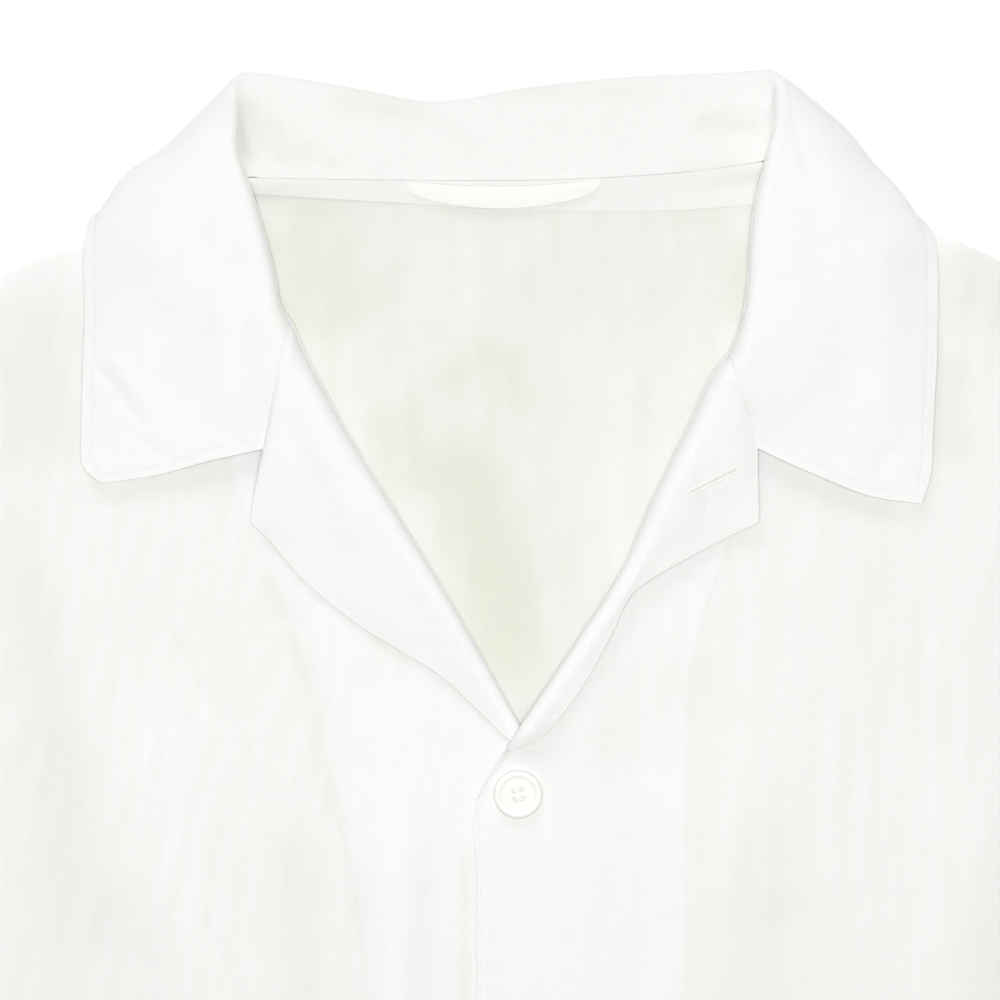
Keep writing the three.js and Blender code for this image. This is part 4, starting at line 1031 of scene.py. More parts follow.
RIGHT_FORM = FrontForm(Side.RIGHT, RIGHT_FRONT, RIGHT_LAPEL, RIGHT_FACING)
LEFT_FORM = FrontForm(Side.LEFT, LEFT_FRONT, LEFT_LAPEL, LEFT_FACING)


def catmull(points: Array, count: int) -> Array:
    """Centripetal Catmull-Rom curves through four control points each.

    A curve's knots are the square roots of the distances between its points; outside its ends it
    goes on by the mirror of its neighbour.

    Args:
        points: controls, rows by 4 by 3.
        count: steps along each curve.

    Returns:
        Points, rows by count + 1 by 3.
    """
    first = 2 * points[:, :1] - points[:, 1:2]
    last = 2 * points[:, -1:] - points[:, -2:-1]
    p = np.concatenate([first, points, last], axis=1)
    knot = np.maximum(np.linalg.norm(np.diff(p, axis=1), axis=2), SMALL) ** 0.5
    u = np.linspace(0, 3, count + 1)
    i = np.minimum(u.astype(int), 2)
    w = (u - i)[None, :, None]
    p0, p1, p2, p3 = p[:, i], p[:, i + 1], p[:, i + 2], p[:, i + 3]
    d0, d1, d2 = knot[:, i, None], knot[:, i + 1, None], knot[:, i + 2, None]
    m1 = ((p1 - p0) / d0 - (p2 - p0) / (d0 + d1) + (p2 - p1) / d1) * d1
    m2 = ((p2 - p1) / d1 - (p3 - p1) / (d1 + d2) + (p3 - p2) / d2) * d1
    square, cube = w * w, w * w * w
    return (
        p1 * (2 * cube - 3 * square + 1) + m1 * (cube - 2 * square + w)
        + p2 * (3 * square - 2 * cube) + m2 * (cube - square)
    )


@dataclass
class CollarForm:
    """The one-piece collar: a band from seam over the roll to the free edge, and its two leaves."""

    stand: int = 14
    curl: int = 14
    fall: int = 44
    leaf_rows: int = 34
    band_rows: int = 150
    bunching: float = 1.5  # above 1, a leaf's rows lie closer by the roll
    guide: int = 7  # rows from a leaf's roll at which the band's curve is steered
    ends_from: float = 3.0  # so far from the seam a leaf's lower edge is free
    crease_fade: float = 3.0  # columns on the stand, millimetres at a free edge
    edge_creases: float = 0.2  # share of the creases that is left at a free edge
    edge_calm: float = 0.5

    def band(self, seam: Array, roll: Array, lean: Array, radius: Array, away: Array,
             controls: Array, begin: Array | None = None) -> Array:
        """Rows across the band: straight stand, an arc over the roll, then the fall.

        The arc's circle passes through the roll's tip. It is left along its tangent towards the
        first control, and reached along its tangent from the seam.

        Args:
            seam, roll: points of each row.
            lean: degrees by which the roll leans away from the neck.
            radius: of the roll.
            away: unit directions out of the neck.
            controls: fall, turn and edge points of each row.
            begin: angles past the tip at which the arc begins instead, where there is no stand.

        Returns:
            Points, rows by columns by 3.
        """
        angle = np.radians(lean)[:, None]
        up = np.array([0.0, 0.0, 1.0])
        points = -np.cos(angle) * away + np.sin(angle) * up
        over = np.sin(angle) * away + np.cos(angle) * up
        centre = roll - points * radius[:, None]
        finish = self.leaving(centre, points, over, radius, controls[:, 0])
        if begin is None:
            begin = -self.leaving(centre, points, -over, radius, seam)
        finish = np.maximum(finish, begin)
        t = np.linspace(0, 1, self.curl + 1)[None, :]
        turn = lerp(begin[:, None], finish[:, None], t)[..., None]
        arc = centre[:, None] + radius[:, None, None] * (
            np.cos(turn) * points[:, None] + np.sin(turn) * over[:, None]
        )
        t = np.linspace(0, 1, self.stand + 1)[None, :-1, None]
        stand = lerp(seam[:, None], arc[:, :1], t)
        fall = catmull(np.concatenate([arc[:, -1:], controls], axis=1), self.fall)
        return np.concatenate([stand, arc[:, :-1], fall], axis=1)

    @staticmethod
    def leaving(centre: Array, points: Array, over: Array, radius: Array, target: Array) -> Array:
        """The angle from a roll's tip at which a tangent of its circle runs to a target."""
        out = target - centre
        angle = np.arctan2((out * over).sum(1), (out * points).sum(1)) % (2 * math.pi)
        distance = np.hypot((out * over).sum(1), (out * points).sum(1))
        return angle - np.arccos(np.clip(radius / np.maximum(distance, SMALL), -1, 1))

    def stations(self) -> Array:
        """The band's rows at its stations, kinks included, from the right gorge to the left one."""
        rows = [list(r) for r in RIGHT_STATIONS]
        for r in BACK_STATIONS:
            for part, level in TUCKED:
                r = (*r, lerp(r[0], r[3], part), level, PAIR_HALF)
            rows.append(list(r))
        rows += [list(r) for r in LEFT_STATIONS]
        table = np.array(rows)
        seam, roll = table[:, 0:3].copy(), table[:, 3:6]
        loose = np.isnan(seam[:, 2])
        for form in (RIGHT_FORM, LEFT_FORM):
            mine = loose & (seam[:, 0] * form.sign > 0)
            x, level = seam[mine, 0], seam[mine, 1]
            lying = form.height(x, level, EDGE_REACH, SLANT * (form.top - level))
            seam[mine, 2] = lying + form.rows("rise", level) + 2 * PAIR_HALF + GAP
        seam[~loose, 1] = BACK_NECK("level", seam[~loose, 0]) + GAP
        tangent = np.gradient(roll[:, :2], axis=0)
        away = unit(np.stack([-tangent[:, 1], tangent[:, 0], 0 * tangent[:, 0]], -1))
        shift = np.array([0, NECK_Y, 0])
        controls = table[:, 8:17].reshape(-1, 3, 3) + shift
        return self.band(seam + shift, roll + shift, table[:, 6], table[:, 7], away, controls)

    def leaf(self, form: FrontForm, table: Sequence[Sequence[float]], share: Array) -> Array:
        """Rows of a leaf beside its gorge, at shares of the gorge's length; 0 is on the roll.

        Each begins where the lapel's own roll has turned to at that share.
        """
        data = np.array(table, float)
        corner = np.zeros(len(data), bool)
        controls = hermite(data[:, 0], data[:, 1:].reshape(-1, 3, 3), corner, share)
        controls[..., 1] += NECK_Y
        start, turned = form.gorge(share)
        start = start + np.array([form.sign * SEAM_GAP, SEAM_GAP, 0])
        away = np.tile([form.sign, 0.0, 0.0], (len(share), 1))
        radius = np.full(len(share), form.rows("rise", np.array([form.kink]))[0])
        tip = start + radius[:, None] * (
            (1 - np.cos(turned))[:, None] * -away - np.sin(turned)[:, None] * np.array([0, 0, 1.0])
        )
        return self.band(start, tip, 0 * share, radius, away, controls, turned)

    def grid(self) -> Grid:
        """The whole collar, smooth between stations."""
        share = np.linspace(1, 0, self.leaf_rows) ** self.bunching
        right = self.leaf(RIGHT_FORM, RIGHT_LEAF, share)
        left = self.leaf(LEFT_FORM, LEFT_LEAF, share[::-1])
        guide = np.concatenate([
            right[[-1 - self.guide, -1]], self.stations(), left[[0, self.guide]],
        ])
        fall = guide[:, self.stand + self.curl :]
        steps = np.linalg.norm(np.diff(fall, axis=0), axis=2).mean(axis=1)
        keys = np.concatenate([[0], np.cumsum(steps)])
        corner = np.zeros(len(keys), bool)
        where = np.linspace(keys[1], keys[-2], self.band_rows)
        rows = hermite(keys, guide, corner, where)
        points = np.concatenate([right[:-1], rows, left[1:]])
        points[..., 2] = np.maximum(points[..., 2], PAIR_HALF)
        along, across = run_along(points, 0), run_along(points, 1)
        from_edge = across[:, -1:] - across
        from_ends = np.minimum(along, along[-1:] - along)
        edge = np.minimum(from_edge, np.where(across > self.ends_from, from_ends, FAR))
        grain = np.stack([along[:, -1:] + 0 * across, across], -1)
        return Grid(points, grain, edge, np.ones_like(edge))

    def creased(self) -> Grid:
        """The collar's surface with its own creases pushed into it, and painted shade on its stand.
        """
        grid = self.grid()
        x, level = grid.points[..., 0], grid.points[..., 1] - NECK_Y
        column = np.arange(grid.points.shape[1])[None]
        past_roll = (column - self.stand - self.curl) / (2 * self.crease_fade)
        on_fall = ease(past_roll) + 0 * x
        seam_side, roll_side = column / self.crease_fade, (self.stand - column) / self.crease_fade
        on_stand = ease(roll_side) * ease(seam_side) + 0 * x
        from_edge = ease((grid.edge - self.edge_calm) / self.crease_fade)
        free = lerp(self.edge_creases, 1, from_edge)
        crease = on_fall * (ridges(FALL_CREASES, x, level) + FALL_WAVES(x, level)) * free
        crease += on_stand * (ridges(STAND_CREASES, x, level) + STAND_WAVES(x, level))
        points, normals = np.split(with_normals(grid), 2, axis=2)
        points = points + normals * crease[..., None]
        points[..., 2] = np.maximum(points[..., 2], PAIR_HALF)
        # Painted shade on the stand from its table, and the whole stand a little darker.
        darker_on_stand = ease(-past_roll) * (ridges(STAND_PAINTED_SHADING, x, level) - STAND_DARKER)
        return Grid(points, grid.grain, grid.edge, grid.plies + darker_on_stand)


# ---------- other forms ----------
def back_grid() -> Grid:
    """The back: rows from side to side that rise to the neck in the middle, less so lower down."""
    side = np.concatenate([
        np.linspace(SHOULDER_LEVEL, BACK_UPPER_END, BACK_ROWS[0]),
        np.linspace(BACK_UPPER_END, -BODY_LENGTH, BACK_ROWS[1])[1:],
    ])
    half = np.concatenate([
        np.linspace(0, NECK_SHARE, BACK_HALF_COLUMNS[0]),
        np.linspace(NECK_SHARE, 1, BACK_HALF_COLUMNS[1])[1:],
    ])
    share = np.concatenate([-half[:0:-1], half])[None]
    side = side[:, None]
    beyond = np.clip((np.abs(share) - NECK_SHARE) / (1 - NECK_SHARE), 0, 1)
    slope = ease((side - ROW_LEVEL_OUT) / (SHOULDER_LEVEL - ROW_LEVEL_OUT))
    x = share * SIDE("x", side)
    neck = BACK_NECK("level", np.clip(x, -NECK_HALF, NECK_HALF)) - GAP
    level = side + (neck - SHOULDER_LEVEL) * (1 - beyond) * slope
    by_side, by_hem = (SIDE("x", side) - np.abs(x)) / SIDE_FADE, (BODY_LENGTH + level) / HEM_FADE
    by_neck = (neck - level - UNDER_TAPE) / NECK_FADE
    fine = ridges(BACK_CREASES, x, level) + BACK_WAVES(x, level)
    fine = np.maximum(fine * (ease(by_side) * ease(by_neck) * ease(by_hem)), -DEEPEST)
    z = back_height(x, level) + fine
    points = place(x, level, z)[:, ::-1]
    grain = np.stack([x, level], -1)[:, ::-1]
    edge = (BODY_LENGTH + level)[:, ::-1]
    # The tone: painted shade and painted light from the table, with uneven streaks.
    plies = BACK_BASE + ridges(BACK_PAINTED_SHADING, x, level) + BACK_STREAKS(x, level)
    return Grid(points, grain, edge, plies[:, ::-1])


def sleeve_grid(side: Side) -> Grid:
    """A sleeve as a flat tube: its ring runs over the top layer and back along the lower one."""
    down = np.array([math.sin(SLEEVE_ANGLE), -math.cos(SLEEVE_ANGLE)])
    inward = np.array([-math.cos(SLEEVE_ANGLE), -math.sin(SLEEVE_ANGLE)])
    cuff_outer = np.array([SHOULDER_X, SHOULDER_LEVEL]) + down * SLEEVE_LENGTH
    share = np.linspace(0, 1, SLEEVE_COLUMNS)
    level = lerp(SHOULDER_LEVEL, UNDERARM_LEVEL, share)
    start = np.stack([SIDE("x", level) + SLEEVE_START_GAP / 2, level], -1)
    end = cuff_outer + inward * CUFF_WIDTH * share[:, None]
    t, u = np.linspace(0, 1, SLEEVE_ROWS)[:, None], share[None]
    flat = lerp(start[None], end[None], t[..., None])
    away = ease(4 * t) * ease(4 * (1 - t))
    swell = np.sin(SWELLS_ACROSS * u + SWELLS_ALONG * t)
    high = SLEEVE_TOP_Z + SLEEVE_SWELL * swell * away
    x, at_level = flat[..., 0], flat[..., 1]
    high += ridges(SLEEVE_CREASES, t * SLEEVE_LENGTH, u * CUFF_WIDTH) * away
    high += SLEEVE_WAVES[side](x, at_level) * away
    rounded = quarter_round(SLEEVE_ROUNDING * u) * quarter_round(SLEEVE_ROUNDING * (1 - u))
    top = place(x, at_level, lerp(SIDE_Z, np.maximum(high, SIDE_Z + 1), rounded))
    under = place(x, at_level, np.full_like(x, BACK_Z))[:, ::-1]
    ring = np.concatenate([top, under, top[:, :1]], axis=1)
    along, round_it = run_along(ring, 0), run_along(ring, 1)
    ring = ring * np.array([side.value, 1, 1])
    edge = along[-1:] - along
    plies = lerp(FRONT_BASE, 1, ease((HEM - edge) / DOUBLE_RUN))
    made = Grid(ring, np.stack([round_it, -along], -1), edge, plies)
    return made if side is Side.LEFT else made.reversed()


def seam_height(x: Array) -> Array:
    """Height of the collar's seam along the back neck, straight between its stations."""
    stations = RIGHT_STATIONS + BACK_STATIONS + LEFT_STATIONS
    rows = np.array([(r[0], r[2]) for r in stations if not math.isnan(r[2])])
    rows = rows[np.argsort(rows[:, 0])]
    return np.interp(x, rows[:, 0], rows[:, 1])


def strip_grid(x: Array, level: Array, z: Array, width: Array, down: Array, plies: float) -> Grid:
    """A strip's grid: down runs from 0 to 1 over its width, and both its long edges are free."""
    edge = width * np.minimum(down, 1 - down)
    grain = np.stack([x + 0 * down, level], -1)
    return Grid(place(x, level, z), grain, edge, np.full_like(edge, plies))


def tape_grid() -> Grid:
    """The neck tape: it falls from the collar's seam to the back and widens to the left."""
    t, down = (np.linspace(0, 1, count) for count in TAPE_GRID)
    t, down = t[:, None], down[None]
    x = lerp(TAPE_FROM - TAPE_HIDDEN, TAPE_TO, t)
    width = lerp(TAPE_NARROW, TAPE_WIDE, t)
    level = BACK_NECK("level", x) + GAP - TAPE_OVER_SEAM - width * down
    lying = back_height(x, level) + TAPE_OVER_BACK + TAPE_WAVES(x, level)
    hanging = seam_height(x) + PLY / 2 + PLY_GAP
    z = lerp(hanging, lying, ease(down * width / TAPE_FALL))
    return strip_grid(x, level, z, width, down, TAPE_PLIES)


def loop_grid() -> Grid:
    """The hanger loop: a flat crescent that sags from the seam and stands off the back."""
    t, down = (np.linspace(0, 1, count) for count in LOOP_GRID)
    t, down = t[:, None], down[None]
    x = lerp(LOOP_FROM, LOOP_TO, t)
    arch = 1 - (2 * t - 1) ** 2
    width = LOOP_END_WIDTH + LOOP_SWELL * arch**LOOP_FULLNESS
    level = BACK_NECK("level", x) - LOOP_DROP - LOOP_SAG * arch - width * down
    bulge = LOOP_BULGE * arch**LOOP_BULGE_FULLNESS * (1 - LOOP_LEAN * down)
    lift = LOOP_OFF + bulge + LOOP_ARCH * np.sin(down * math.pi)
    z = back_height(x, level) + ON_BACK + lift
    return strip_grid(x, level, z, width, down, LOOP_PLIES)


@dataclass
class Stitches:
    """Straight machine stitches along lines: plump little grains of thread, half sunk in."""

    pitch: float = 3.0
    length: float = 2.35
    radius: float = 0.17
    sides: int = 6
    breadth: float = 1.15  # width over height
    sunk: float = 0.9  # share of the radius by which its ends sink in
    reading: float = 0.6  # length to either side over which the line's direction is read

    def grain(self) -> tuple[Array, Array]:
        """One stitch along X: rings that follow a flattened half circle, closed by tips."""
        along = np.array([-0.46, -0.32, 0.0, 0.32, 0.46])
        swell = np.array([0.45, 0.9, 1.0, 0.9, 0.45])
        turn = np.arange(self.sides) * 2 * math.pi / self.sides
        rings = np.stack([
            np.repeat(along * self.length, self.sides),
            np.outer(swell, np.cos(turn)).ravel() * self.radius * self.breadth,
            np.outer(swell, np.sin(turn)).ravel() * self.radius,
        ], -1)
        rings[:, 2] -= np.repeat((np.abs(along) * 2) ** 3 * self.radius * self.sunk, self.sides)
        end = 0.5 * self.length
        tips = np.array([[-end, 0, -self.radius], [end, 0, -self.radius]])
        first, last = len(rings), len(rings) + 1
        corner = np.arange(len(rings)).reshape(len(along), self.sides)
        nxt = np.roll(corner, -1, axis=1)
        quads = cells(corner[:-1], corner[1:], nxt[1:], nxt[:-1])[::-1]
        ends = [
            np.stack([np.full(self.sides, first), corner[0], nxt[0]], -1),
            np.stack([np.full(self.sides, last), nxt[-1], corner[-1]], -1),
        ]
        return np.concatenate([rings, tips]), np.concatenate(quads + ends)

    def run(self, line: Array, lift: float, skip: float = 0.0, crosswise: bool = False) -> Mesh:
        """Stitches at even steps along a line.

        Args:
            line: points and normals along the line, in millimetres.
            lift: how far the stitches lie from the line, along its normals.
            skip: length left free at both ends.
            crosswise: whether each lies across the line, as round a buttonhole.

        Returns:
            One mesh of them all.
        """
        run = run_along(line[:, :3], 0)
        count = int((run[-1] - 2 * skip) / self.pitch)
        at = skip + (np.arange(count) + 0.5) * self.pitch
        behind, here, ahead = (
            np.stack([np.interp(at + shift, run, line[:, k]) for k in range(6)], -1)
            for shift in (-self.reading, 0, self.reading)
        )
        along = unit(ahead[:, :3] - behind[:, :3])
        aside = unit(np.cross(here[:, 3:] * math.copysign(1, lift), along))
        up = np.cross(along, aside)
        if crosswise:
            along, aside = aside, -along
        shape, faces = self.grain()
        centre = here[:, :3] + here[:, 3:] * lift
        points = (
            centre[:, None] + shape[None, :, :1] * along[:, None]
            + shape[None, :, 1:2] * aside[:, None] + shape[None, :, 2:] * up[:, None]
        )
        shift = np.arange(count)[:, None, None] * len(shape)
        return Mesh(points.reshape(-1, 3) * MM, (faces[None] + shift).reshape(-1, 3))


ASKEW = np.array([0.31, 0.2, 0.93])  # a direction that no thread here runs in


def tube(path: Array, radius: float, sides: int = 8) -> Mesh:
    """A round thread along a path of points in millimetres: rings square to it, closed by fans."""
    along = unit(np.gradient(path, axis=0))
    across = unit(np.cross(along, ASKEW))
    other = np.cross(along, across)
    turn = (np.arange(sides) * 2 * math.pi / sides)[None, :, None]
    around = np.cos(turn) * across[:, None] + np.sin(turn) * other[:, None]
    rings = path[:, None] + radius * around
    count = len(path)
    corner = np.arange(count * sides).reshape(count, sides)
    nxt = np.roll(corner, -1, axis=1)
    quads = cells(corner[:-1], nxt[:-1], nxt[1:], corner[1:])
    first, last = np.full(sides, count * sides), np.full(sides, count * sides + 1)
    ends = [np.stack([first, nxt[0], corner[0]], -1), np.stack([last, corner[-1], nxt[-1]], -1)]
    points = np.concatenate([rings.reshape(-1, 3), path[[0, -1]]])
    return Mesh(points * MM, np.concatenate(quads + ends))


# ---------- pieces ----------
# The cut of what shows: flat width and length in metres, area in square metres.
FRONT_CUT = {Side.RIGHT: ((0.36, 0.76), 0.199), Side.LEFT: ((0.36, 0.76), 0.193)}
FACING_CUT = {Side.RIGHT: ((0.13, 0.75), 0.059), Side.LEFT: ((0.13, 0.75), 0.054)}
COLLAR_CUT = (0.56, 0.10), 0.041
BACK_CUT = (0.575, 0.74), 0.386
SLEEVE_CUT = (0.40, 0.60), 0.096
# Colours of the linen: a single ply and a double one.
SHELL_COLOURS = (0.78, 0.8, 0.75), (0.886, 0.883, 0.887)
# The back's inside is darker and yellower: partly a creamier tone, partly painted shade for the
# recess it lies in under the neck.
INSIDE_SHADED_COLOURS = (0.666, 0.677, 0.61), (0.772, 0.777, 0.784)


@dataclass(frozen=True)
class Finishes:
    """Every finish of the garment, made once."""

    shell: Any = field(default_factory=Linen("linen", *SHELL_COLOURS).material)
    trim: Any = field(
        default_factory=Linen("linen_topstitched", *SHELL_COLOURS, COLLAR_STITCH * MM).material
    )
    inside: Any = field(default_factory=Linen("linen_inside", *INSIDE_SHADED_COLOURS).material)
    thread: Any = field(default_factory=Plain(
        "thread", (0.87, 0.87, 0.855), (0.82, 0.82, 0.795), roughness=0.75, scale=900,
    ).material)
    nacre: Any = field(default_factory=Plain(
        "nacre", (0.84, 0.844, 0.825), (0.81, 0.815, 0.79), roughness=0.3, scale=260,
        coat=0.25, milky=0.5,
    ).material)
    # A dark grey-beige that paints the shade inside a buttonhole's slit.
    slit: Any = field(default_factory=Plain(
        "slit", (0.7, 0.71, 0.65), (0.64, 0.65, 0.59), roughness=0.9, scale=700,
    ).material)


def dress(name: str, mesh: Mesh, finish: Any, nodes: Sequence[str] = ()) -> Any:
    """Makes a piece that rides on the garment and stands for its CAD nodes."""
    made = make_object(name, mesh, finish)
    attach(made, "root")
    if nodes:
        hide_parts(*nodes)
    LOG.info("%s: %d triangles", name, len(mesh.faces))
    return made


NEAR_POINTS, NEAR_SOFTNESS = 4, 1e-3


def laid(surface: Array, x: Array, level: Array) -> Array:
    """Points and normals of a surface's grid over given places.

    Each is the mean of the grid points nearest in plan, weighted by one over distance squared.
    """
    flat = surface.reshape(-1, 6)
    apart = np.hypot(flat[None, :, 0] - x[:, None], flat[None, :, 1] - NECK_Y - level[:, None])
    near = np.argsort(apart, axis=1)[:, :NEAR_POINTS]
    weight = 1 / (np.take_along_axis(apart, near, axis=1) ** 2 + NEAR_SOFTNESS)
    line = (flat[near] * weight[..., None]).sum(axis=1) / weight.sum(axis=1, keepdims=True)
    line[:, 0], line[:, 1] = x, level + NECK_Y
    return line


@dataclass
class FrontPiece:
    """A front and its facing, with their edge stitching and hem."""

    form: FrontForm
    flat: tuple[float, float]
    area: float
    facing_flat: tuple[float, float]
    facing_area: float

    def build(self, finishes: Finishes) -> None:
        name = self.form.side.name.lower()
        outer = self.form.front_cloth().shell(-PLY - PLY_GAP, -PLY_GAP)
        inner = self.form.facing_cloth().shell(PLY_GAP, PLY + PLY_GAP)
        front = dress(f"{name}_front_cloth", outer, finishes.shell, [f"{name}_front"])
        facing = dress(f"{name}_facing_cloth", inner, finishes.shell, [f"{name}_facing"])
        sewing = dress(f"{name}_front_stitching", self.stitching(), finishes.thread)

    def stitching(self) -> Mesh:
        """Stitches by the lapel's and the front's free edge, and along the hem."""
        stitches, sign = Stitches(), self.form.sign
        body, turned = (with_normals(g) for g in self.form.grids())
        face = (PLY + PLY_GAP) * sign
        lapel = inset(turned, EDGE_STITCH)
        edge = inset(body[len(body) - EDGE_ROWS :], EDGE_STITCH)
        hem = inset(np.swapaxes(body, 0, 1), HEM_STITCH)
        return all_joined([
            stitches.run(lapel, face, LAPEL_INSET),
            stitches.run(edge, -face, EDGE_INSET),
            stitches.run(hem, -face, HEM_INSET),
        ])


@dataclass
class CollarPiece:
    """The collar's two layers and the topstitching near their edge."""

    form: CollarForm
    flat: tuple[float, float]
    area: float

    def build(self, finishes: Finishes) -> None:
        """Makes and stitches both layers."""
        grid = self.form.creased()
        cloth = Cloth([grid])
        above, below = cloth.shell(PLY_GAP, PLY + PLY_GAP), cloth.shell(-PLY - PLY_GAP, -PLY_GAP)
        upper = dress("upper_collar_cloth", above, finishes.trim, ["upper_collar"])
        under = dress("under_collar_cloth", below, finishes.trim, ["under_collar"])
        sewing = dress("collar_stitching", self.stitching(with_normals(grid)), finishes.thread)

    def stitching(self, surface: Array) -> Mesh:
        """Stitches along the outer edge and along both leaves' lower edges."""
        stitches, face = Stitches(), PLY + PLY_GAP
        across = np.swapaxes(surface, 0, 1)
        leaf = slice(self.form.stand + self.form.curl, None)
        return all_joined([
            stitches.run(inset(rows, COLLAR_STITCH), face, COLLAR_STITCH)
            for rows in (surface, across[leaf], across[leaf, ::-1])
        ])


@dataclass
class BackPiece:
    """The back, with its hem."""

    flat: tuple[float, float]
    area: float
    wall: float = 0.55
    stitch_lift: float = 0.02

    def build(self, finishes: Finishes) -> None:
        """Makes and stitches it."""
        grid = back_grid()
        back = dress("back_cloth", Cloth([grid]).shell(-self.wall, 0.0), finishes.inside, ["back"])
        hem = inset(np.swapaxes(with_normals(grid), 0, 1), HEM_STITCH)
        sewing = Stitches().run(hem, self.stitch_lift, HEM_INSET)
        sewing = dress("back_stitching", sewing, finishes.thread)


@dataclass
class SleevePiece:
    """A sleeve, laid flat as a tube, with its hem."""

    side: Side
    flat: tuple[float, float]
    area: float
    half_wall: float = 0.25

    def build(self, finishes: Finishes) -> None:
        """Makes and stitches it."""
        name = self.side.name.lower()
        grid = sleeve_grid(self.side)
        wall = Cloth([grid]).shell(-self.half_wall, self.half_wall)
        sleeve = dress(f"{name}_sleeve_cloth", wall, finishes.shell, [f"{name}_sleeve"])
        surface = with_normals(grid)
        rows = surface if self.side is Side.LEFT else surface[::-1]
        cuff = inset(np.swapaxes(rows, 0, 1), CUFF_STITCH)
        top = cuff[np.argmax(cuff[:, 2])]
        outside = math.copysign(self.half_wall, top[5])
        sewing = Stitches().run(cuff, outside)
        sewing = dress(f"{name}_sleeve_stitching", sewing, finishes.thread)


@dataclass
class NeckTrim:
    """The neck tape and the hanger loop."""

    tape_flat: tuple[float, float] = (0.190, 0.016)
    tape_area: float = 0.00205
    loop_flat: tuple[float, float] = (0.076, 0.010)
    tape_half: float = 0.2
    loop_half: float = 0.4

    def build(self, finishes: Finishes) -> None:
        """Makes both, and stitches the tape."""
        surface = tape_grid()
        wall = Cloth([surface]).shell(-self.tape_half, self.tape_half)
        tape = dress("neck_tape_cloth", wall, finishes.shell, ["neck_tape"])
        line = inset(with_normals(surface), TAPE_STITCH)
        sewing = Stitches(pitch=2.4, length=1.9).run(line, self.tape_half, LAPEL_INSET)
        sewing = dress("neck_tape_stitching", sewing, finishes.thread)
        wall = Cloth([loop_grid()]).shell(-self.loop_half, self.loop_half)
        loop = dress("hanger_loop_cloth", wall, finishes.shell, ["hanger_loop"])


# Both ends of a front buttonhole, from its button's middle, and of the lapel's.
FRONT_HOLE = (-3.2, -0.4), (13.0, 1.8)
LAPEL_HOLE = (67.5, -117.0), (84.5, -108.6)


def plain_grid(points: Array) -> Grid:
    """A grid of what isn't cloth: without grain, edge or plies."""
    zero = np.zeros(points.shape[:2])
    return Grid(points, np.stack([zero, zero], -1), zero, zero)


@dataclass
class Buttonhole:
    """A worked buttonhole: two rows of close stitches, barred at both ends, and between them a dark
    strip that paints the shade in the slit.
    """

    start: tuple[float, float]
    end: tuple[float, float]
    half_width: float = 0.85
    bar_overhang: float = 0.5
    bar_beyond: float = 0.3  # from the slit's end to the bar
    slit_half_width: float = 0.15
    slit_half_thick: float = 0.05

    def __post_init__(self) -> None:
        """Reads its length and its directions, along and aside."""
        way = np.subtract(self.end, self.start)
        self.length = float(np.hypot(*way))
        self.way = way / self.length
        self.aside = np.array([-self.way[1], self.way[0]])

    def line(self, surface: Array, along: Array | float, aside: Array | float) -> Array:
        """Points and normals on a surface, so far along the slit and aside of it."""
        x, level = (self.start[k] + self.way[k] * along + self.aside[k] * aside for k in (0, 1))
        return laid(surface, x, level)

    def build(self, name: str, surface: Array, lift: float, finishes: Finishes) -> None:
        """Lays it on a surface of points and normals.

        Args:
            name: of its pieces.
            surface: rows by columns by 6.
            lift: of the cloth's face over the surface, along its normals.
            finishes: the garment's.
        """
        run, half_bar = np.linspace(0, self.length, 24), self.half_width + self.bar_overhang
        across = np.linspace(-half_bar, half_bar, 8)
        over = Stitches(pitch=0.42, length=1.15, radius=0.2)
        ending = Stitches(pitch=0.4, length=1.2, radius=0.22)
        rows = [
            over.run(self.line(surface, run, shift), lift, crosswise=True)
            for shift in (-self.half_width, self.half_width)
        ] + [
            ending.run(self.line(surface, at, across), lift, crosswise=True)
            for at in (-self.bar_beyond, self.length + self.bar_beyond)
        ]
        dress(f"{name}_sewing", all_joined(rows), finishes.thread)
        # A thin dark strip along the slit: painted shade where the cut opens.
        line = self.line(surface, run, 0)
        half = np.append(self.aside, 0.0) * self.slit_half_width
        middle = line[:, :3] + line[:, 3:] * lift
        strip = Cloth([plain_grid(np.stack([middle - half, middle + half], axis=1))])
        mesh = strip.shell(-self.slit_half_thick, self.slit_half_thick)
        dress(f"{name}_slit", Mesh(mesh.points, mesh.faces), finishes.slit)


@dataclass(frozen=True)
class ButtonThread:
    """Two bars of three strands each, that cross the dish from hole to hole and dip into both."""

    reach: float  # from the middle to a hole, along X and along Y
    floor: float  # height of the dish
    radius: float = 0.2
    pitch: float = 0.3
    squeeze: float = 0.05  # by which the strands draw together at the holes
    overrun: float = 0.15
    lift: float = 0.22
    bulge: float = 0.3
    sink: float = 0.8
    sink_from: float = 0.86

    def mesh(self) -> Mesh:
        """The six strands."""
        t = np.linspace(-1, 1, 15)
        sunk = self.sink * ease((np.abs(t) - self.sink_from) / (1 - self.sink_from))
        rise = self.floor + self.lift + self.bulge * (1 - t**2) - sunk
        x, apart = t * (self.reach + self.overrun), self.pitch - self.squeeze * np.abs(t)
        return all_joined([
            tube(np.stack([x, y + strand * apart, rise], -1), self.radius)
            for y in (-self.reach, self.reach) for strand in (-1, 0, 1)
        ])


def turning(angle: float, first: int, second: int) -> Array:
    """The matrix that turns the first axis towards the second."""
    matrix = np.eye(3)
    matrix[first, first] = matrix[second, second] = math.cos(angle)
    matrix[first, second], matrix[second, first] = -math.sin(angle), math.sin(angle)
    return matrix


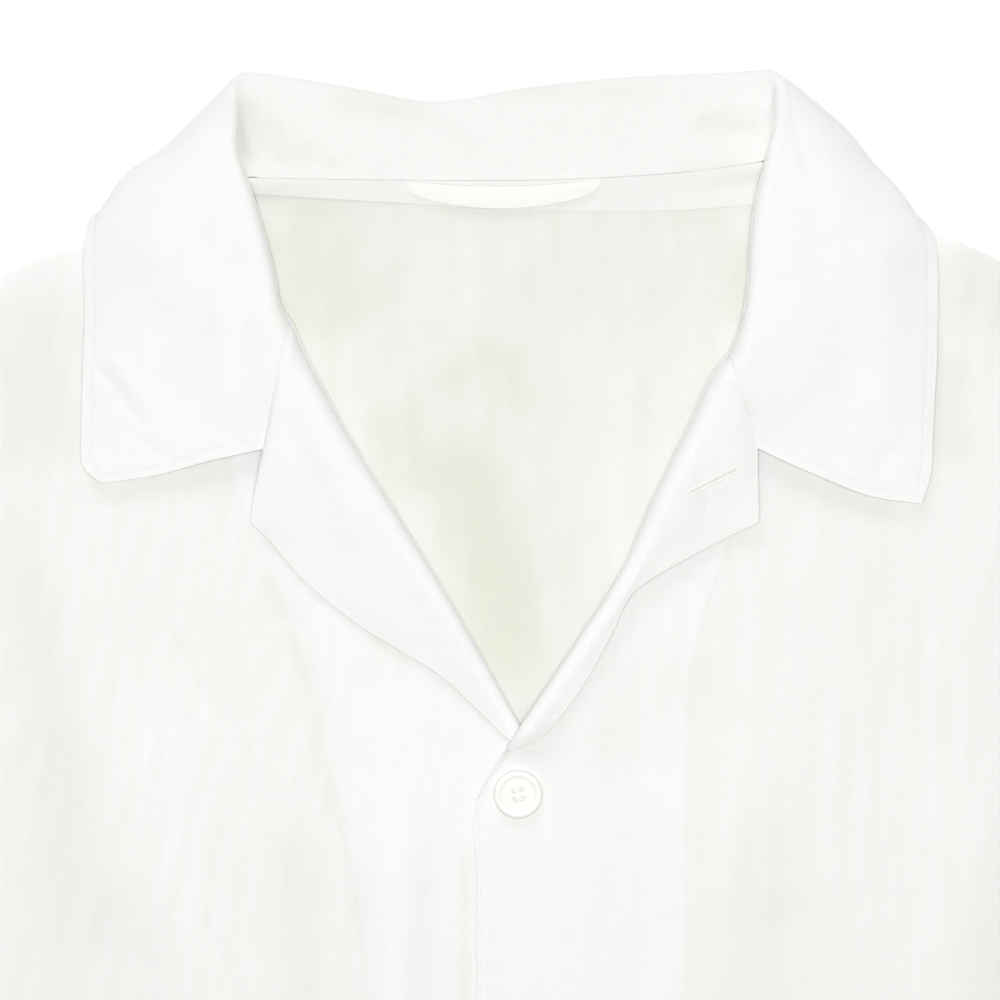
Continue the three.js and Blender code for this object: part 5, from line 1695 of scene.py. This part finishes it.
@dataclass
class Button:
    """A sew-through button of nacre: a low rim round a dished middle with four holes and thread."""

    number: int
    spins: tuple[float, ...] = (11, -24, 37, 6, -15)  # degrees, first button to last
    radius: float = 9.0
    thick: float = 3.0
    rim: float = 1.6
    rounding: float = 0.6
    dish: float = 0.22
    dish_run: float = 1.4
    hole: float = 0.95
    hole_ring: float = 2.4
    hole_depth: float = 0.8
    hole_wall: float = 0.12
    holes_within: float = 4.0  # the rings lie closer together so far out
    under: tuple[tuple[float, float], ...] = ((0.0, 1.2), (0.3, 0.5), (1.3, 0.0), (9.0, 0.0))
    drop: float = 0.5  # the shown cloth is thinner than the solid, so the button lies lower
    foot: float = 1.2  # inset of the ring that it tilts on
    most_tilt: float = 0.5
    sides: int = 96

    def profile(self, r: Array) -> Array:
        """The top's height at a radius: a rounded rim that falls to the dish, then level."""
        inner = self.radius - self.rim
        over = np.clip((r - inner - self.rounding) / (self.rim - self.rounding), 0, 1)
        outside = self.rounding * (1 - np.sqrt(1 - over**2))
        return self.thick - outside - self.dish * ease((inner - r) / self.dish_run)

    def disc(self) -> Mesh:
        """The body: rings of the top with holes sunk in it, the wall, and the plain underside."""
        r = np.concatenate([
            np.linspace(0, self.holes_within, 41),
            np.linspace(self.holes_within, self.radius, 26)[1:],
        ])[:, None]
        turn = (np.arange(self.sides) * 2 * math.pi / self.sides)[None]
        x, y, z = r * np.cos(turn), r * np.sin(turn), self.profile(r) + 0 * turn
        for quarter in range(4):
            angle = (quarter + 0.5) * math.pi / 2
            hole_x, hole_y = self.hole_ring * math.cos(angle), self.hole_ring * math.sin(angle)
            away = np.hypot(x - hole_x, y - hole_y)
            within = (self.hole + self.hole_wall - away) / (2 * self.hole_wall)
            z = z - self.hole_depth * ease(within)
        inset_by, height = np.array(self.under).T[..., None]
        out = self.radius - inset_by
        below = np.stack([out * np.cos(turn), out * np.sin(turn), height + 0 * turn], -1)
        rings = np.concatenate([np.stack([x, y, z], -1), below])
        body = Cloth([plain_grid(np.concatenate([rings, rings[:, :1]], axis=1))])
        return Mesh(body.points, body.faces)

    def build(self, finishes: Finishes) -> None:
        """Lays disc and thread where the CAD button lies, at its tilt."""
        name = f"button_{self.number}"
        low, high = (np.array(corner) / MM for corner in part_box(name))
        sine = max(high[2] - low[2] - self.thick, 0) / (2 * (self.radius - self.foot))
        spin = turning(math.radians(self.spins[self.number - 1]), 0, 1)
        tilt = turning(math.asin(min(sine, self.most_tilt)), 1, 2)
        centre = (low + high) / 2 - np.array([0, 0, self.drop])
        disc = self.disc()
        thread = ButtonThread(self.hole_ring * math.cos(math.pi / 4), self.thick - self.dish).mesh()
        for label, points, faces, finish, nodes in (
            ("disc", disc.points, disc.faces, finishes.nacre, [name]),
            ("thread", thread.points / MM, thread.faces, finishes.thread, []),
        ):
            points = (points - np.array([0, 0, self.thick / 2])) @ spin.T @ tilt.T + centre
            dress(f"{name}_{label}", Mesh(points * MM, faces), finish, nodes)


# ---------- studio ----------
@dataclass
class Studio:
    """A pale floor, soft light and a camera that looks straight down."""

    frame_width: float = 0.375
    centre: tuple[float, float] = (-0.00375, 0.225)
    cloth_height: float = 0.008
    lens: float = 135.0
    sensor: float = 36.0
    behind_lens: float = 0.02
    sky: float = 0.27
    floor_half: float = 4000.0  # millimetres
    floor_drop: float = 0.6

    def build(self) -> None:
        """Makes camera, lights, world and floor."""
        scene = bpy.context.scene
        scene.view_settings.view_transform = "Standard"
        scene.view_settings.look = "None"
        lens = bpy.data.cameras.new("camera")
        lens.lens, lens.sensor_width = self.lens, self.sensor
        camera = bpy.data.objects.new("camera", lens)
        away = self.frame_width / 2 / (self.sensor / 2 / self.lens)
        camera.location = (*self.centre, self.cloth_height + away)
        lens.clip_end = 50
        scene.collection.objects.link(camera)
        scene.camera = camera
        above = (*self.centre, self.cloth_height + away + self.behind_lens)
        self.light("overhead", above, size=0.25, power=17.05, colour=(1, 1, 0.985))
        self.light("key", (-0.8, 3.1, 2.2), size=1.5, power=24, colour=(0.97, 0.95, 1.06))
        self.world()
        self.floor()

    def light(self, name: str, where: tuple[float, float, float], size: float, power: float,
              colour: tuple[float, float, float]) -> None:
        """A square area light that faces the garment's neck."""
        lamp = bpy.data.lights.new(name, "AREA")
        lamp.energy, lamp.size, lamp.color = power, size, colour
        made = bpy.data.objects.new(name, lamp)
        made.location = where
        aim = Vector((*self.centre, 0)) - Vector(where)
        made.rotation_euler = aim.to_track_quat("-Z", "Y").to_euler()
        bpy.context.scene.collection.objects.link(made)

    def world(self) -> None:
        """Even light from all round, a little warm."""
        world = bpy.data.worlds.new("studio")
        world.use_nodes = True
        world.node_tree.nodes["Background"].inputs["Color"].default_value = (1, 1, 0.93, 1)
        world.node_tree.nodes["Background"].inputs["Strength"].default_value = self.sky
        bpy.context.scene.world = world

    def floor(self) -> None:
        """A wide pale floor just under the garment."""
        half, z = self.floor_half, -self.floor_drop
        corners = np.array([(-half, -half, z), (half, -half, z), (half, half, z), (-half, half, z)])
        finish = Plain(
            "floor", (0.97, 0.97, 0.97), (0.955, 0.955, 0.955), roughness=0.9, scale=3.0, glow=0.3,
        ).material()
        made = make_object("floor", Mesh(corners * MM, np.array([(0, 1, 2), (0, 2, 3)])), finish)


def main() -> None:
    """Builds the garment piece by piece, then the studio."""
    logging.basicConfig(level=logging.INFO, format="%(message)s")
    finishes = Finishes()
    for form in (RIGHT_FORM, LEFT_FORM):
        FrontPiece(form, *FRONT_CUT[form.side], *FACING_CUT[form.side]).build(finishes)
    CollarPiece(CollarForm(), *COLLAR_CUT).build(finishes)
    BackPiece(*BACK_CUT).build(finishes)
    for side in Side:
        SleevePiece(side, *SLEEVE_CUT).build(finishes)
    NeckTrim().build(finishes)
    body, turned = (with_normals(g) for g in LEFT_FORM.grids())
    face = PLY + PLY_GAP
    (from_x, from_level), (to_x, to_level) = FRONT_HOLE
    for i in range(BUTTON_COUNT):
        level = BUTTON_FIRST - i * BUTTON_PITCH
        hole = Buttonhole((from_x, level + from_level), (to_x, level + to_level))
        hole.build(f"buttonhole_{i + 1}", body, -face, finishes)
        Button(i + 1).build(finishes)
    Buttonhole(*LAPEL_HOLE).build("lapel_buttonhole", turned, face, finishes)
    Studio().build()


if __name__ == "__main__":
    main()
